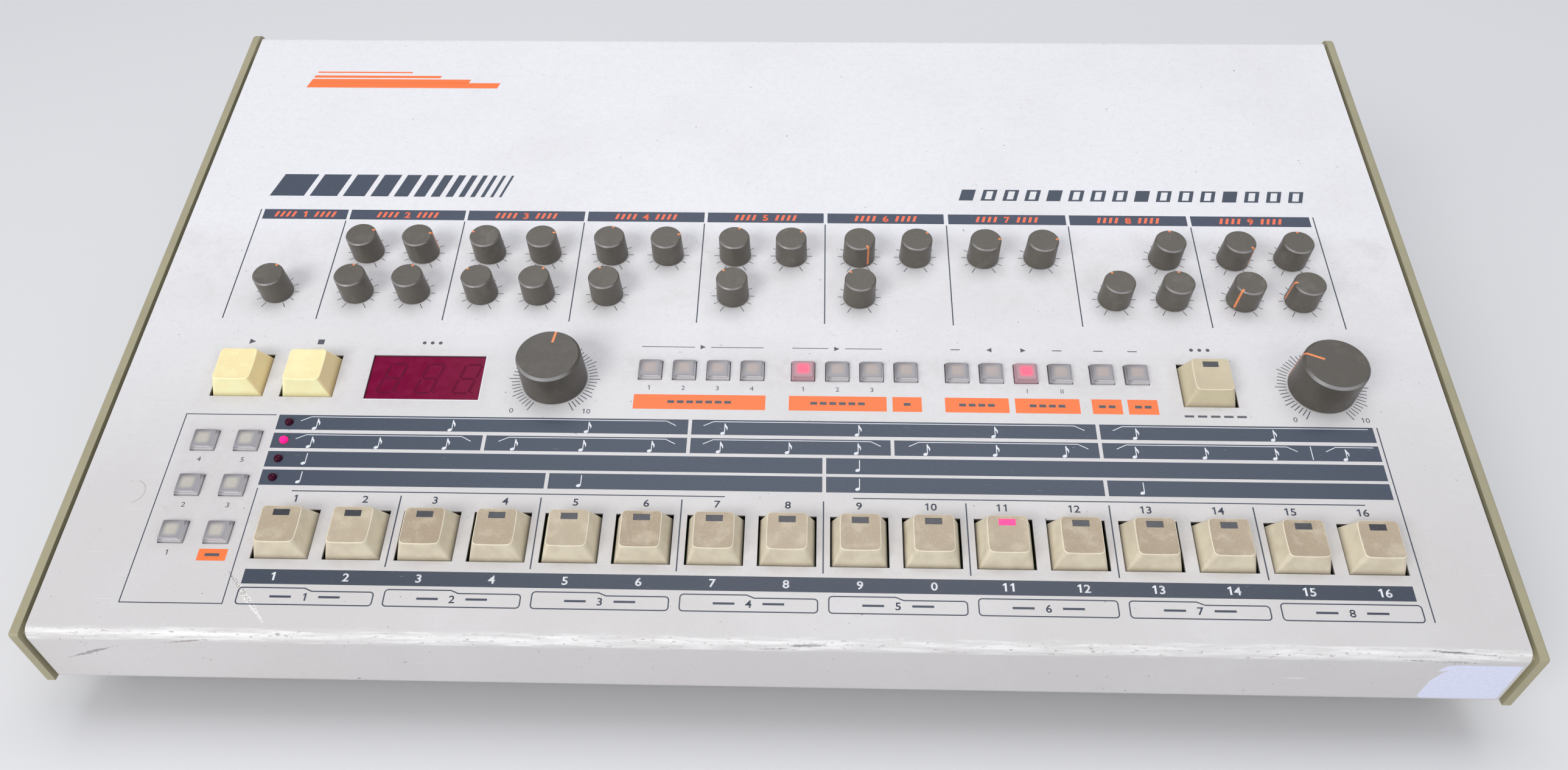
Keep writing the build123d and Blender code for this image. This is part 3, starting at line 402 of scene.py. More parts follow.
def cheek_plastic():
    """Khaki plastic with a fine grain and long scrapes."""
    shade = Shade("cheek_plastic", rgb(166, 160, 131), 0.5, Specular_IOR_Level=0.4)
    where = shade.place()
    grain = shade.noise(where, 2.2, 5.0, 0.7)
    cloud = shade.noise(where, 0.04, 5.0, 0.6)
    shade.tint(shade.step(cloud, 0.35, 0.7), rgb(158, 152, 125))
    shade.tint(shade.step(grain, 0.55, 0.8, 0.4), rgb(190, 185, 160))
    scrape = shade.noise(shade.stretched(where, 0, (1.0, 0.03, 1.4)), 1.0, 3.0, 0.6)
    shade.tint(shade.step(scrape, 0.68, 0.76, 0.6), rgb(120, 114, 92))
    shade.bump(grain, 0.00005, 0.6)
    return shade.material


def lens_plastic():
    """Red window and lamps, one of them lit."""
    shade = Shade("lens_plastic", rgb(112, 18, 56), 0.2, Specular_IOR_Level=0.1)
    where = shade.place(PANEL)
    x, s = shade.split(where)[:2]
    lamp_side = shade.step(x, -160.0, -162.0)
    lit = shade.times(lamp_side, shade.step(shade.off(s, LAMP_ROWS[LIT_LAMP]), 3.0, 2.6))
    haze = shade.noise(where, 0.25, 4.0, 0.6)
    glass = shade.mix(shade.step(haze, 0.35, 0.7), rgb(118, 4, 52), rgb(126, 8, 58))
    shade.tone = shade.mix(lamp_side, glass, rgb(62, 12, 38))
    shade.tint(lit, rgb(255, 40, 130))
    shade.surface("Emission Color", rgb(255, 10, 110))
    shade.surface("Emission Strength", shade.times(lit, 0.9))
    shade.surface("Roughness", shade.step(haze, 0.3, 0.7, 0.26, start=0.12))
    shade.bump(haze, 0.00002, 0.4)
    return shade.material


def button_plastic():
    """Frosted caps over a cream block; the layer "local" holds each cap's own coordinates in mm."""
    shade = Shade("button_plastic", rgb(176, 174, 174), 0.3, Specular_IOR_Level=0.5)
    local = shade.node("ShaderNodeUVMap", uv_map="local").outputs[0]
    across, along, _ = shade.split(local)
    x = shade.split(shade.place(PANEL))[0]
    lit = shade.node("ShaderNodeAttribute", attribute_name="lit").outputs["Fac"]
    square = shade.math("MAXIMUM", shade.math("ABSOLUTE", across), shade.math("ABSOLUTE", along))
    round_off = shade.times(shade.length(shade.join(across, along)), 0.35)
    away = shade.math("ADD", shade.times(square, 0.65), round_off)
    fine = shade.noise(shade.place(), 1.4, 4.0, 0.65)
    core = shade.step(away, 3.3, 1.2)
    warm = shade.mix(shade.step(x, -170.0, -160.0), rgb(192, 187, 178), rgb(176, 163, 158))
    corner = shade.math("SUBTRACT", along, across)
    # painted shade: each cap darker towards its back left corner
    dim = shade.mix(shade.step(corner, -2.0, 6.0), rgb(154, 152, 157), rgb(126, 123, 127))
    shade.tone = shade.mix(core, dim, warm)
    # painted highlight: light lines along the stepped edges of each cap's front and right sides
    highlight_side = shade.step(corner, -0.5, -2.5)
    for edge, share in ((3.72, 0.75), (4.1, 0.6)):
        edge_highlight = shade.step(shade.off(square, edge), 0.17, 0.05, share)
        shade.tint(shade.times(edge_highlight, highlight_side), rgb(226, 224, 226))
    shade.tint(shade.step(fine, 0.5, 0.75, 0.25), rgb(140, 136, 134))
    glow = shade.mix(core, rgb(182, 140, 150), rgb(255, 78, 118))
    shade.tint(shade.times(lit, 0.85), glow)
    shade.surface("Emission Color", rgb(255, 40, 78))
    shade.surface("Emission Strength", shade.times(lit, shade.step(away, 2.8, 0.8, 0.6)))
    shade.bump(fine, 0.00002, 0.4)
    return shade.material


def banded(name, base, bands, rough):
    """A base colour, and others inside boxes: bands of (colour, low corner, high corner) in mm."""
    shade = Shade(name, base, rough)
    where = shade.place()
    grain = shade.noise(where, 0.8, 4.0, 0.6)
    for colour, low, high in bands:
        share = 1.0
        for value, least, most in zip(shade.split(where), low, high):
            for side in (shade.math("GREATER_THAN", value, least), shade.math("LESS_THAN", value, most)):
                share = shade.times(side, share)
        shade.tint(share, colour)
    shade.tint(shade.step(grain, 0.4, 0.75, 0.25), rgb(120, 120, 118))
    shade.bump(grain, 0.00004, 0.4)
    return shade.material


SLATE = ink("ink_slate", rgb(66, 75, 91), rgb(75, 83, 99))
BAR = ink("ink_number_bar", rgb(60, 68, 82), rgb(70, 78, 92))
HEADER = ink("ink_header", rgb(68, 76, 94), rgb(78, 86, 104))
LINE = ink("ink_line", rgb(62, 69, 85), rgb(74, 81, 96))
THIN = ink("ink_thin", rgb(80, 83, 92), rgb(100, 102, 110))
WHITE = ink("ink_white", rgb(229, 231, 237), rgb(217, 220, 227))
ORANGE = ink("ink_orange", rgb(251, 124, 64), rgb(246, 118, 60))
HEADER_ORANGE = plain("ink_header_orange", rgb(255, 122, 86), rgb(246, 112, 78), 1.5, 0.4)
POINTER = plain("pointer_orange", rgb(246, 150, 92), rgb(232, 134, 80), 1.5, 0.4)
LENS_DARK = plain("led_lens_dark", rgb(52, 54, 62), rgb(64, 65, 72), 0.9, 0.22, bump=0.00002)
SEGMENT = plain("segment_dark", rgb(98, 3, 43), rgb(103, 4, 47), 0.8, 0.4, bump=0.00001,
                Specular_IOR_Level=0.1)
BUTTON = button_plastic()

FAR = 1000.0  # mm, past every side of the object
BOARD_GREEN, BLACK_PLASTIC = rgb(54, 116, 66), rgb(30, 30, 32)
SOCKET_BLACK, SOCKET_STEEL, DULL_STEEL = rgb(34, 34, 36), rgb(186, 186, 188), rgb(150, 149, 148)
MATERIALS = {
    "top_cover": panel_paint(),
    "bottom_chassis": plain("tray_paint", rgb(38, 38, 42), rgb(48, 48, 52), 0.8, 0.45),
    "end_cheeks": cheek_plastic(),
    "rubber_feet": plain("foot_rubber", rgb(36, 36, 36), rgb(50, 49, 48), 1.2, 0.75),
    "fasteners": plain("screw_steel", rgb(168, 168, 170), rgb(196, 196, 198), 1.6, 0.34, Metallic=1.0),
    "main_board_and_supply": banded("board_and_supply", BOARD_GREEN, (
        (BLACK_PLASTIC, (-FAR, -FAR, 18.0), (FAR, FAR, FAR)),
        (DULL_STEEL, (118.0, -FAR, -FAR), (FAR, FAR, FAR))), 0.5),
    "panel_board": plain("panel_board_green", rgb(40, 96, 54), rgb(52, 110, 64), 0.6, 0.45),
    "indicator_lenses": lens_plastic(),
    "rear_sockets": banded("socket_plastic", SOCKET_BLACK, (
        (SOCKET_STEEL, (-208.0, 146.6, 30.0), (-120.0, FAR, 90.0)),
        (SOCKET_STEEL, (-120.0, 146.6, 62.0), (40.0, FAR, 82.0)),
        (SOCKET_STEEL, (58.0, 146.6, 30.0), (74.0, FAR, 50.0)),
        (DULL_STEEL, (-102.0, 140.0, 30.0), (24.0, FAR, 51.5))), 0.4),
    "power_switch": plain("rocker_plastic", rgb(28, 28, 30), rgb(40, 40, 42), 1.2, 0.32),
}
STEP_KEY = key_plastic("key_plastic", rgb(230, 220, 195), rgb(179, 163, 139), wear=0.97)
COMMAND_KEY = key_plastic("command_key_plastic", rgb(255, 252, 200), rgb(252, 226, 164), wear=0.6,
                          rim_wear_and_highlight=rgb(255, 248, 200), side=0.55)
ENTER_KEY = key_plastic("enter_key_plastic", rgb(216, 205, 172), rgb(196, 181, 157), wear=0.5)
MATERIALS.update(start_key=COMMAND_KEY, stop_key=COMMAND_KEY, enter_key=ENTER_KEY)
KNOB = knob_plastic("knob_plastic", dark=0.0, rim_highlight=0.45)
LARGE_KNOB = knob_plastic("large_knob_plastic", dark=0.25, rim_highlight=0.5)


def material_of(name):
    if name in MATERIALS:
        return MATERIALS[name]
    if name.endswith("_knob"):
        return LARGE_KNOB if name in LARGE_KNOBS else KNOB
    return STEP_KEY if name.startswith("step_key") else BUTTON


def finish_cad_nodes():
    for name, node in frame["nodes"].items():
        node.data.materials.clear()
        node.data.materials.append(material_of(name))


# ---- mesh code
INK = 0.03  # mm, height of the print
RAISED = 0.06  # mm, height of print on print
OVER = {"low": 0.02, "high": RAISED}  # print that starts inside the print below it


def linked(name, data):
    """A new object in the scene."""
    made = bpy.data.objects.new(name, data)
    bpy.context.scene.collection.objects.link(made)
    return made


def piece(name, bm, material, body="case", matrix=PANEL):
    """An object from bm, whose coordinates are mm in the frame matrix, riding on body."""
    bmesh.ops.scale(bm, vec=(MM, MM, MM), verts=bm.verts)
    bmesh.ops.recalc_face_normals(bm, faces=bm.faces)
    mesh = bpy.data.meshes.new(name)
    bm.to_mesh(mesh)
    bm.free()
    mesh.materials.append(material)
    made = linked(name, mesh)
    made.matrix_world = matrix
    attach(made, body)
    return made


def prism(bm, outline, low=0.0, high=INK):
    """A flat shape with the given outline, from height low to height high."""
    base = [bm.verts.new((x, y, low)) for x, y in outline]
    top = [bm.verts.new((x, y, high)) for x, y in outline]
    bm.faces.new(base[::-1])
    bm.faces.new(top)
    for i, vertex in enumerate(base):
        j = (i + 1) % len(base)
        bm.faces.new((vertex, base[j], top[j], top[i]))


def bar(bm, x0, s0, x1, s1, **heights):
    prism(bm, ((x0, s0), (x1, s0), (x1, s1), (x0, s1)), **heights)


def line(bm, start, end, width, **heights):
    a, b = Vector(start), Vector(end)
    side = (b - a).normalized().orthogonal() * (width / 2)
    prism(bm, (a + side, a - side, b - side, b + side), **heights)


def stroke(bm, path, width, closed=False):
    """A line of constant width along path, mitred at its corners."""
    points = [Vector(p) for p in path]
    if closed:
        first, last = points[-1], points[0]
    else:
        first = points[0] - (points[1] - points[0])
        last = points[-1] + (points[-1] - points[-2])
    left, right = [], []
    for before, point, after in zip([first, *points], points, [*points[1:], last]):
        ahead, behind = (after - point).normalized(), (point - before).normalized()
        across = (ahead + behind).orthogonal().normalized()
        across *= width / 2 / max(0.3, across.dot(behind.orthogonal().normalized()))
        left.append(point + across)
        right.append(point - across)
    for i in range(len(points) if closed else len(points) - 1):
        j = (i + 1) % len(points)
        prism(bm, (left[i], right[i], right[j], left[j]))


def arc(x, s, radius, start, end, steps=5):
    """Points on a circle, from the angle start to the angle end in degrees."""
    turns = [math.radians(start + (end - start) * i / steps) for i in range(steps + 1)]
    return [(x + radius * math.cos(t), s + radius * math.sin(t)) for t in turns]


def rounded(x0, s0, x1, s1, radius):
    """Outline of a rectangle with round corners."""
    left, right, low, high = x0 + radius, x1 - radius, s0 + radius, s1 - radius
    return (arc(right, low, radius, -90, 0) + arc(right, high, radius, 0, 90)
            + arc(left, high, radius, 90, 180) + arc(left, low, radius, 180, 270))


FONT_DIGIT = 0.72  # height of a digit of Blender's own font
WIDEN = 1.1  # the figures on such panels are wide
FIGURE_PITCH = 0.8  # from digit to digit, as a share of their height
LEAN = 0.28  # mm to the right for each mm up, of slanted stripes


def letters(bm, text, x, s, height, weight=0.0, high=INK):
    """Plain figures centred on (x, s), with digits of the given height."""
    if not text.isdigit():
        glyphs(bm, text, x, s, height, weight, high)
        return
    for k, digit in enumerate(text):
        at = x + FIGURE_PITCH * height * (k - (len(text) - 1) / 2)
        if digit == "1":
            figure_one(bm, at, s, height, weight, high)
        else:
            glyphs(bm, digit, at, s, height, weight, high)


def figure_one(bm, x, s, height, weight, high):
    """A one with a flag, which Blender's own font lacks."""
    stem = (0.1 + 2 * weight) / FONT_DIGIT * height * WIDEN
    right = x + 0.5 * stem + 0.07 * height
    left, flag = right - stem, right - stem - 0.2 * height
    top, bottom = s + 0.5 * height, s - 0.5 * height
    prism(bm, ((left, bottom), (right, bottom), (right, top), (right - 0.7 * stem, top),
               (flag, s + 0.32 * height), (flag, s + 0.32 * height - 0.7 * stem),
               (left, s + 0.4 * height - 0.7 * stem)), high=high)


def glyphs(bm, text, x, s, height, weight, high):
    """Text in Blender's own font, centred on (x, s) and raised by high."""
    curve = bpy.data.curves.new("figures", "FONT")
    curve.body = text
    curve.align_x = "CENTER"
    curve.offset = weight
    curve.resolution_u = 3
    holder = linked("figures", curve)
    bpy.context.view_layer.update()
    mesh = bpy.data.meshes.new_from_object(holder.evaluated_get(bpy.context.evaluated_depsgraph_get()))
    flat = bmesh.new()
    flat.from_mesh(mesh)
    grow = height / FONT_DIGIT
    raised = bmesh.ops.extrude_face_region(flat, geom=flat.faces[:])["geom"]
    for vertex in [g for g in raised if isinstance(g, bmesh.types.BMVert)]:
        vertex.co.z = high / grow
    for vertex in flat.verts:
        across, along, up = vertex.co
        vertex.co = (x + across * grow * WIDEN, s + (along - FONT_DIGIT / 2) * grow, up * grow)
    flat.to_mesh(mesh)
    flat.free()
    bm.from_mesh(mesh)
    bpy.data.objects.remove(holder)
    bpy.data.curves.remove(curve)
    bpy.data.meshes.remove(mesh)


def slanted(bm, x, s, width, height):
    """A bar that leans to the right."""
    lean = LEAN * height
    prism(bm, ((x, s), (x + width, s), (x + width + lean, s + height), (x + lean, s + height)), high=RAISED)


def triangle(bm, x, s, size, way=1):
    """An arrowhead that points right, or left where way is -1."""
    back, tip = x - way * size * 0.45, x + way * size * 0.5
    points = ((back, s - size / 2), (tip, s), (back, s + size / 2))
    prism(bm, points[::way], high=RAISED)


def disc(bm, x, s, radius, sides, **heights):
    prism(bm, arc(x, s, radius, 0, 360 - 360 / sides, sides - 1), **heights)


# ---- print on the panel
HEADER_ENDS = (  # left and right of the bar over each section
    (-208.8, -174.7), (-173.4, -127.05), (-125.75, -78.85), (-77.5, -30.8), (-29.5, 16.8),
    (18.3, 64.5), (66.25, 112.75), (114.2, 160.4), (162.0, 208.75))
HEADER_LOW, HEADER_TOP = 185.95, 191.4
SCALE_ROWS = (  # low s, high s, places of the white gaps
    (57.9, 64.3, (-77.7, 17.6, 113.3)),
    (65.5, 72.1, (17.6,)),
    (73.5, 80.0, (-102.0, -29.9, 41.3, 113.4)),
    (81.5, 88.0, (-29.9, 113.4)),
)
SCALE_LEFT, SCALE_RIGHT = -177.0, 209.1
SCALE_GAP = 1.3


def print_headers():
    bars, figures = bmesh.new(), bmesh.new()
    for i, (left, right) in enumerate(HEADER_ENDS):
        bar(bars, left, HEADER_LOW, right, HEADER_TOP)
        middle = (left + right) / 2
        letters(figures, str(i + 1), middle, 188.7, 3.2, weight=0.035, high=RAISED)
        for side in (-1, 1):
            for k in range(4):
                slanted(figures, middle + side * (4.6 + 2.3 * k) - 0.95, 187.2, 1.1, 3.0)
    piece("header_bars", bars, HEADER)
    piece("header_figures", figures, HEADER_ORANGE)


def print_section_lines():
    """Lines between the sections; the outer two go on up to the top of the headers."""
    lines = bmesh.new()
    for x in SECTION_LINES:
        is_outer = x in (SECTION_LINES[0], SECTION_LINES[-1])
        bar(lines, x - 0.22, 133.2, x + 0.22, HEADER_TOP if is_outer else 185.2)
    piece("section_lines", lines, LINE)


def knob_joints():
    """Each knob's joint, with the knob's middle on the panel in mm."""
    for joint in frame["joints"]:
        if joint["child"].endswith("_knob"):
            yield joint, PANEL.inverted() @ Vector(joint["pos_m"]) * 1000


def print_knob_scales():
    ticks = bmesh.new()
    for joint, centre in knob_joints():
        if joint["child"] in LARGE_KNOBS:
            count, long_every, inner, short, long, width = 50, 5, 12.5, 15.6, 16.55, 0.32
        else:
            count, long_every, inner, short, long, width = 10, 10, 6.35, 8.19, 8.99, 0.27
        for i in range(count + 1):
            angle = math.radians(LEAST_ANGLE - KNOB_TURN * i / count)
            way = Vector((math.cos(angle), math.sin(angle)))
            outer = short if i % long_every else long
            line(ticks, centre.xy + way * inner, centre.xy + way * outer, width, high=0.025)
    piece("knob_scales", ticks, THIN)


def print_scale_bars():
    bars = bmesh.new()
    for low, high, gaps in SCALE_ROWS:
        sides = [gap + side * SCALE_GAP / 2 for gap in gaps for side in (-1, 1)]
        edges = [SCALE_LEFT, *sides, SCALE_RIGHT]
        for left, right in zip(edges[::2], edges[1::2]):
            bar(bars, left, low, right, high)
    piece("scale_bars", bars, SLATE)


def print_scale_notes():
    """The notes that the steps stand for in each of the four scales, with their brackets."""
    notes = bmesh.new()
    for s, columns, has_flag in (
            (83.95, (-162.8, -114.4, -66.0, -17.8, 29.4, 77.1, 126.3, 174.0), True),
            (76.0, [-163.1 + 24.02 * i for i in range(16)], True),
            (68.9, (-163.2, 29.5), False),
            (61.1, (-163.2, -66.1, 29.4, 125.8), False)):
        for x in columns:
            note(notes, x, s, has_flag)
    for top, pitch, count in ((87.2, 143.6, 3), (79.3, 71.9, 6)):
        for i in range(count):
            start = -168.7 + pitch * i
            bracket(notes, start, start + pitch - 9.8, top, is_open=i == count - 1)
    bar(notes, 185.6, 74.0, 185.9, 79.6, **OVER)
    piece("scale_notes", notes, WHITE)


def bracket(bm, start, end, top, is_open):
    """The thin bracket over one group of notes; an open one has no right end."""
    path = [(start, top - 1.85), (start + 3.5, top)]
    path += [(207.3, top)] if is_open else [(end - 3.4, top), (end, top - 1.95)]
    for a, b in zip(path, path[1:]):
        line(bm, a, b, 0.28, **OVER)


def note(bm, x, s, has_flag):
    """A note: its tilted head, its stem and, for a short one, its flag."""
    tilt = Matrix.Rotation(math.radians(22), 2)
    turns = [math.tau * i / 16 for i in range(16)]
    middle = Vector((x - 0.4, s - 1.8))
    prism(bm, [middle + tilt @ Vector((0.86 * math.cos(t), 0.6 * math.sin(t))) for t in turns], **OVER)
    stem = x + 0.4
    bar(bm, x + 0.1, s - 1.6, stem, s + 2.5, **OVER)
    if has_flag:
        prism(bm, ((stem, s + 0.95), (x + 0.85, s + 0.45), (x + 0.98, s - 0.55), (x + 1.3, s + 0.15),
                   (x + 1.22, s + 0.95), (x + 0.72, s + 1.7), (stem, s + 2.5)), **OVER)


def print_key_row():
    lines, figures = bmesh.new(), bmesh.new()
    for i in range(-3, 4):
        x = 17.4 + SECTION * i
        bar(lines, x - 0.23, 26.2, x + 0.23, 54.2)
    for left, right in ((-164.7, -16.1), (27.5, 199.0)):
        bar(lines, left, 55.4, right, 55.8)
    for i, x in enumerate(STEPS):
        letters(figures, str(i + 1), x, NUMBER_ROW, 2.85, weight=0.012)
    piece("key_row_lines", lines, LINE)
    piece("key_row_figures", figures, LINE)


def print_number_bar():
    """The dark bar under the step keys: 1 to 9 and 0, then the steps' own numbers."""
    strip, figures = bmesh.new(), bmesh.new()
    bar(strip, -172.6, 19.2, 206.8, 24.7)
    for number, x in enumerate(STEPS, 1):
        text = str(number % 10 if number <= 10 else number)
        letters(figures, text, x, 22.1, 3.05, weight=0.018, high=RAISED)
    piece("number_bar", strip, BAR)
    piece("number_bar_figures", figures, WHITE)


def tab_outline(left, right, is_stepped):
    """A bar with round corners; a stepped one is lower at its right."""
    low, high, radius, step = 11.7, 17.8, 1.2, 1.1
    path = arc(left + radius, low + radius, radius, 270, 180)
    path += arc(left + radius, high - radius, radius, 180, 90)
    if is_stepped:
        path += [(left + 21.5, high), (left + 24.0, high - step)]
        high -= step
    path += arc(right - radius, high - radius, radius, 90, 0)
    return path + arc(right - radius, low + radius, radius, 0, -90)


def print_tabs():
    tabs, figures = bmesh.new(), bmesh.new()
    for i in range(8):
        start = FIRST_SECTION + SECTION * i
        left, right = start + 1.9, start + SECTION - 1.7
        stroke(tabs, tab_outline(left, right, is_stepped=i not in (5, 7))[::-1], 0.42, closed=True)
        middle = (left + right) / 2
        letters(figures, str(i + 1), middle, 14.6, 2.8, weight=0.012)
        for dash in (middle - 11.5, middle + 4.5):
            bar(figures, dash, 14.2, dash + 7.0, 15.0)
    piece("tab_outlines", tabs, LINE)
    piece("tab_figures", figures, LINE)


def print_frames():
    """The frame round the side buttons, and the line at the right of the step keys."""
    lines = bmesh.new()
    left, low, right, high = -210.6, 11.7, -176.8, 87.9
    stroke(lines, ((-178.1, high), (left, high), (left, low), (right, low), (right, 56.6)), 0.35)
    bar(lines, 210.4, low, 210.8, 88.0)
    piece("frame_lines", lines, LINE)


def print_orange_bars():
    orange = bmesh.new()
    for left, right in ((-50.95, -3.6), (4.8, 39.7), (41.8, 52.2), (60.5, 83.2), (85.4, 108.3),
                        (112.6, 123.2), (125.3, 135.9)):
        bar(orange, left, 92.6, right, 99.15)
    bar(orange, -190.0, 27.6, -180.3, 32.1)
    piece("orange_bars", orange, ORANGE)


def mark_figures(marks):
    """Plain numbers by the small buttons and the large knobs."""
    for first, count in ((0, 4), (4, 3)):
        for i in range(count):
            letters(marks, str(i + 1), UPPER_BUTTONS[first + i], 102.3, 2.0)
    for i, text in ((10, "I"), (11, "II")):
        letters(marks, text, UPPER_BUTTONS[i], 102.6, 1.9)
    for x, text in ((-94.3, "0"), (-67.5, "10"), (183.1, "0"), (207.4, "10")):
        letters(marks, text, x, 91.2, 2.1)
    for i, (x, s) in enumerate(SIDE_BUTTONS):
        if i != 1:
            letters(marks, str(i if i else 1), x, s - 7.9, 2.0)


def mark_signs(marks):
    """Arrowheads, squares, dots and short lines over the controls."""
    triangle(marks, -195.6, 121.9, 2.4)
    bar(marks, -171.1, 120.8, -168.7, 123.1)
    triangle(marks, -27.4, 121.4, 2.0)
    triangle(marks, 21.9, 121.2, 2.0)
    triangle(marks, UPPER_BUTTONS[9], 121.4, 2.0, way=-1)
    triangle(marks, UPPER_BUTTONS[10], 121.4, 2.0)
    for left, right in ((-50.0, -30.4), (-24.4, -5.0), (5.6, 18.8), (25.0, 38.6)):
        bar(marks, left, 121.2, right, 121.5)
    for x in (UPPER_BUTTONS[8], *UPPER_BUTTONS[11:]):
        bar(marks, x - 1.7, 121.2, x + 1.7, 121.6)
    for x, s in ((-128.1, 122.0), (154.6, 122.4)):
        for k in (-1, 0, 1):
            disc(marks, x + 3.0 * k, s, 0.7, sides=24, high=RAISED)


def mark_dashes(marks):
    """Dashes on the orange bars and under the enter key."""
    for middle, count in ((-27.3, 7), (22.2, 6), (47.0, 1), (71.8, 4), (96.8, 4), (117.9, 2), (130.6, 2)):
        for k in range(count):
            x = middle + 3.4 * (k - (count - 1) / 2)
            bar(marks, x - 1.2, 95.3, x + 1.2, 96.5, high=RAISED)
    bar(marks, -187.6, 29.3, -182.7, 30.4, high=RAISED)
    for k in range(5):
        bar(marks, 144.6 + 4.6 * k, 91.6, 147.9 + 4.6 * k, 92.5)


def print_control_marks():
    marks = bmesh.new()
    mark_figures(marks)
    mark_signs(marks)
    mark_dashes(marks)
    piece("control_marks", marks, THIN)


def print_stripes():
    """Plain stripes where such a machine has its large lettering."""
    slate = bmesh.new()
    x, width = -209.0, 14.0
    while width > 0.9:
        slanted(slate, x, 199.2, width, 12.6)
        x += width + 2.4
        width *= 0.8
    low, height = 199.4, 6.2
    for i in range(16):
        x = 71.0 + 8.75 * i
        if i % 4 == 0:
            slanted(slate, x, low, 5.6, height)
            continue
        slanted(slate, x, low, 1.5, height)
        slanted(slate, x + 4.1, low, 1.5, height)
        bar(slate, x + 1.4, low, x + 4.3, low + 0.8, high=0.04)
        bar(slate, x + 3.0, low + height - 0.8, x + 5.8, low + height, high=0.04)
    piece("slate_stripes", slate, SLATE)
    orange = bmesh.new()
    for i, (length, height) in enumerate(((84.0, 3.4), (70.0, 2.4), (56.0, 1.5), (42.0, 0.8))):
        slanted(orange, -210.0 + LEAN * 3.4 * i, 266.6 + 3.3 * i, length, height)
    piece("orange_stripes", orange, ORANGE)


# ---- pieces on the controls
def key_centre(name):
    if name in COMMAND_KEYS:
        return COMMAND_KEYS[name], COMMAND_ROW
    return STEPS[int(name[-2:]) - 1], STEP_ROW


def soften(bm, width):
    """Rounds every sharp edge off by width."""
    sharp = [e for e in bm.edges if len(e.link_faces) == 2 and e.calc_face_angle(0) > 0.5]
    bmesh.ops.bevel(bm, geom=sharp, offset=width, segments=2, affect="EDGES", clamp_overlap=True)


def add_lenses():
    """The lamp windows in the step keys and the enter key, one of them lit."""
    lit = Shade("led_lens_lit", rgb(255, 30, 112), 0.25)
    glow = lit.noise(lit.place(), 0.5, 2.0, 0.5)
    lit.tint(lit.step(glow, 0.3, 0.7), rgb(255, 60, 140))
    lit.surface("Emission Color", rgb(255, 14, 104))
    lit.surface("Emission Strength", 0.85)
    for name in frame["nodes"]:
        if not (name.startswith("step_key") or name == "enter_key"):
            continue
        x, s = key_centre(name)
        s += 4.75  # the window is above the middle of its key
        bm = bmesh.new()
        bar(bm, x - 2.72, s - 1.17, x + 2.72, s + 1.17, low=5.55, high=6.02)
        soften(bm, 0.12)
        is_lit = name == f"step_key_{LIT_STEP:02d}"
        piece(name + "_lens", bm, lit.material if is_lit else LENS_DARK, name)


POINTER_HALF, POINTER_DEPTH = 0.42, 0.3
POINTER_INWARD = ((1.0, 0.0), (0.0, 1.0), (0.7, 0.7), (0.0, 1.0))  # from each corner into the knob


def pointer_profile(name):
    """A pointer's corners from the panel up and inwards: mm from the knob's axis, mm up."""
    if name in LARGE_KNOBS:
        base, top, height, edge, proud = 11.95, 11.45, 13.1, 0.8, 0.03
        reach = 7.6 if name == "volume_knob" else 6.2
    else:
        base, top, height, edge, proud, reach = 6.15, 5.85, 9.5, 0.45, -0.02, 1.6
    return ((base - 0.02, 1.2), (top, height - edge), (top - edge, height + proud),
            (base - reach, height + proud))


def add_pointers():
    """The orange line laid in each knob's groove, over the top and down the side."""
    for joint, centre in knob_joints():
        name = joint["child"]
        angle = math.radians(LEAST_ANGLE - joint["range_deg"][1])
        turn = Matrix.Translation((centre.x, centre.y, 0)) @ Matrix.Rotation(angle, 4, "Z")
        bm = bmesh.new()
        outer, inner = [], []
        for (out, up), (into, down) in zip(pointer_profile(name), POINTER_INWARD):
            for row, depth in ((outer, 0.0), (inner, POINTER_DEPTH)):
                ends = [(out - depth * into, y, up - depth * down) for y in (-POINTER_HALF, POINTER_HALF)]
                row.append([bm.verts.new(turn @ Vector(end)) for end in ends])
        for a, b, c, d in zip(outer, outer[1:], inner, inner[1:]):
            bm.faces.new((a[0], a[1], b[1], b[0]))
            bm.faces.new((c[1], c[0], d[0], d[1]))
            bm.faces.new((a[1], c[1], d[1], b[1]))
            bm.faces.new((c[0], a[0], b[0], d[0]))
        bm.faces.new((outer[0][1], outer[0][0], inner[0][0], inner[0][1]))
        bm.faces.new((outer[-1][0], outer[-1][1], inner[-1][1], inner[-1][0]))
        piece(name + "_pointer", bm, POINTER, name)


CAP_RINGS = (  # up a button's cap: half width, height, corner radius
    (4.15, -3.4, 0.3), (4.15, 0.85, 0.3), (3.97, 1.1, 0.35), (3.72, 1.12, 0.4),
    (3.7, 1.45, 0.45), (3.6, 1.75, 0.5), (3.3, 1.9, 0.5), (2.3, 1.93, 0.4))


def button_cap():
    """The mesh of a small cap with a stepped edge, round its own middle."""
    cap = bmesh.new()
    rings = [[cap.verts.new((x, y, up)) for x, y in rounded(-half, -half, half, half, radius)]
             for half, up, radius in CAP_RINGS]
    for a, b in zip(rings, rings[1:]):
        for k in range(len(a)):
            j = (k + 1) % len(a)
            cap.faces.new((a[k], a[j], b[j], b[k]))
    cap.faces.new(rings[-1])
    cap.faces.new(rings[0][::-1])
    mesh = bpy.data.meshes.new("cap")
    cap.to_mesh(mesh)
    cap.free()
    return mesh


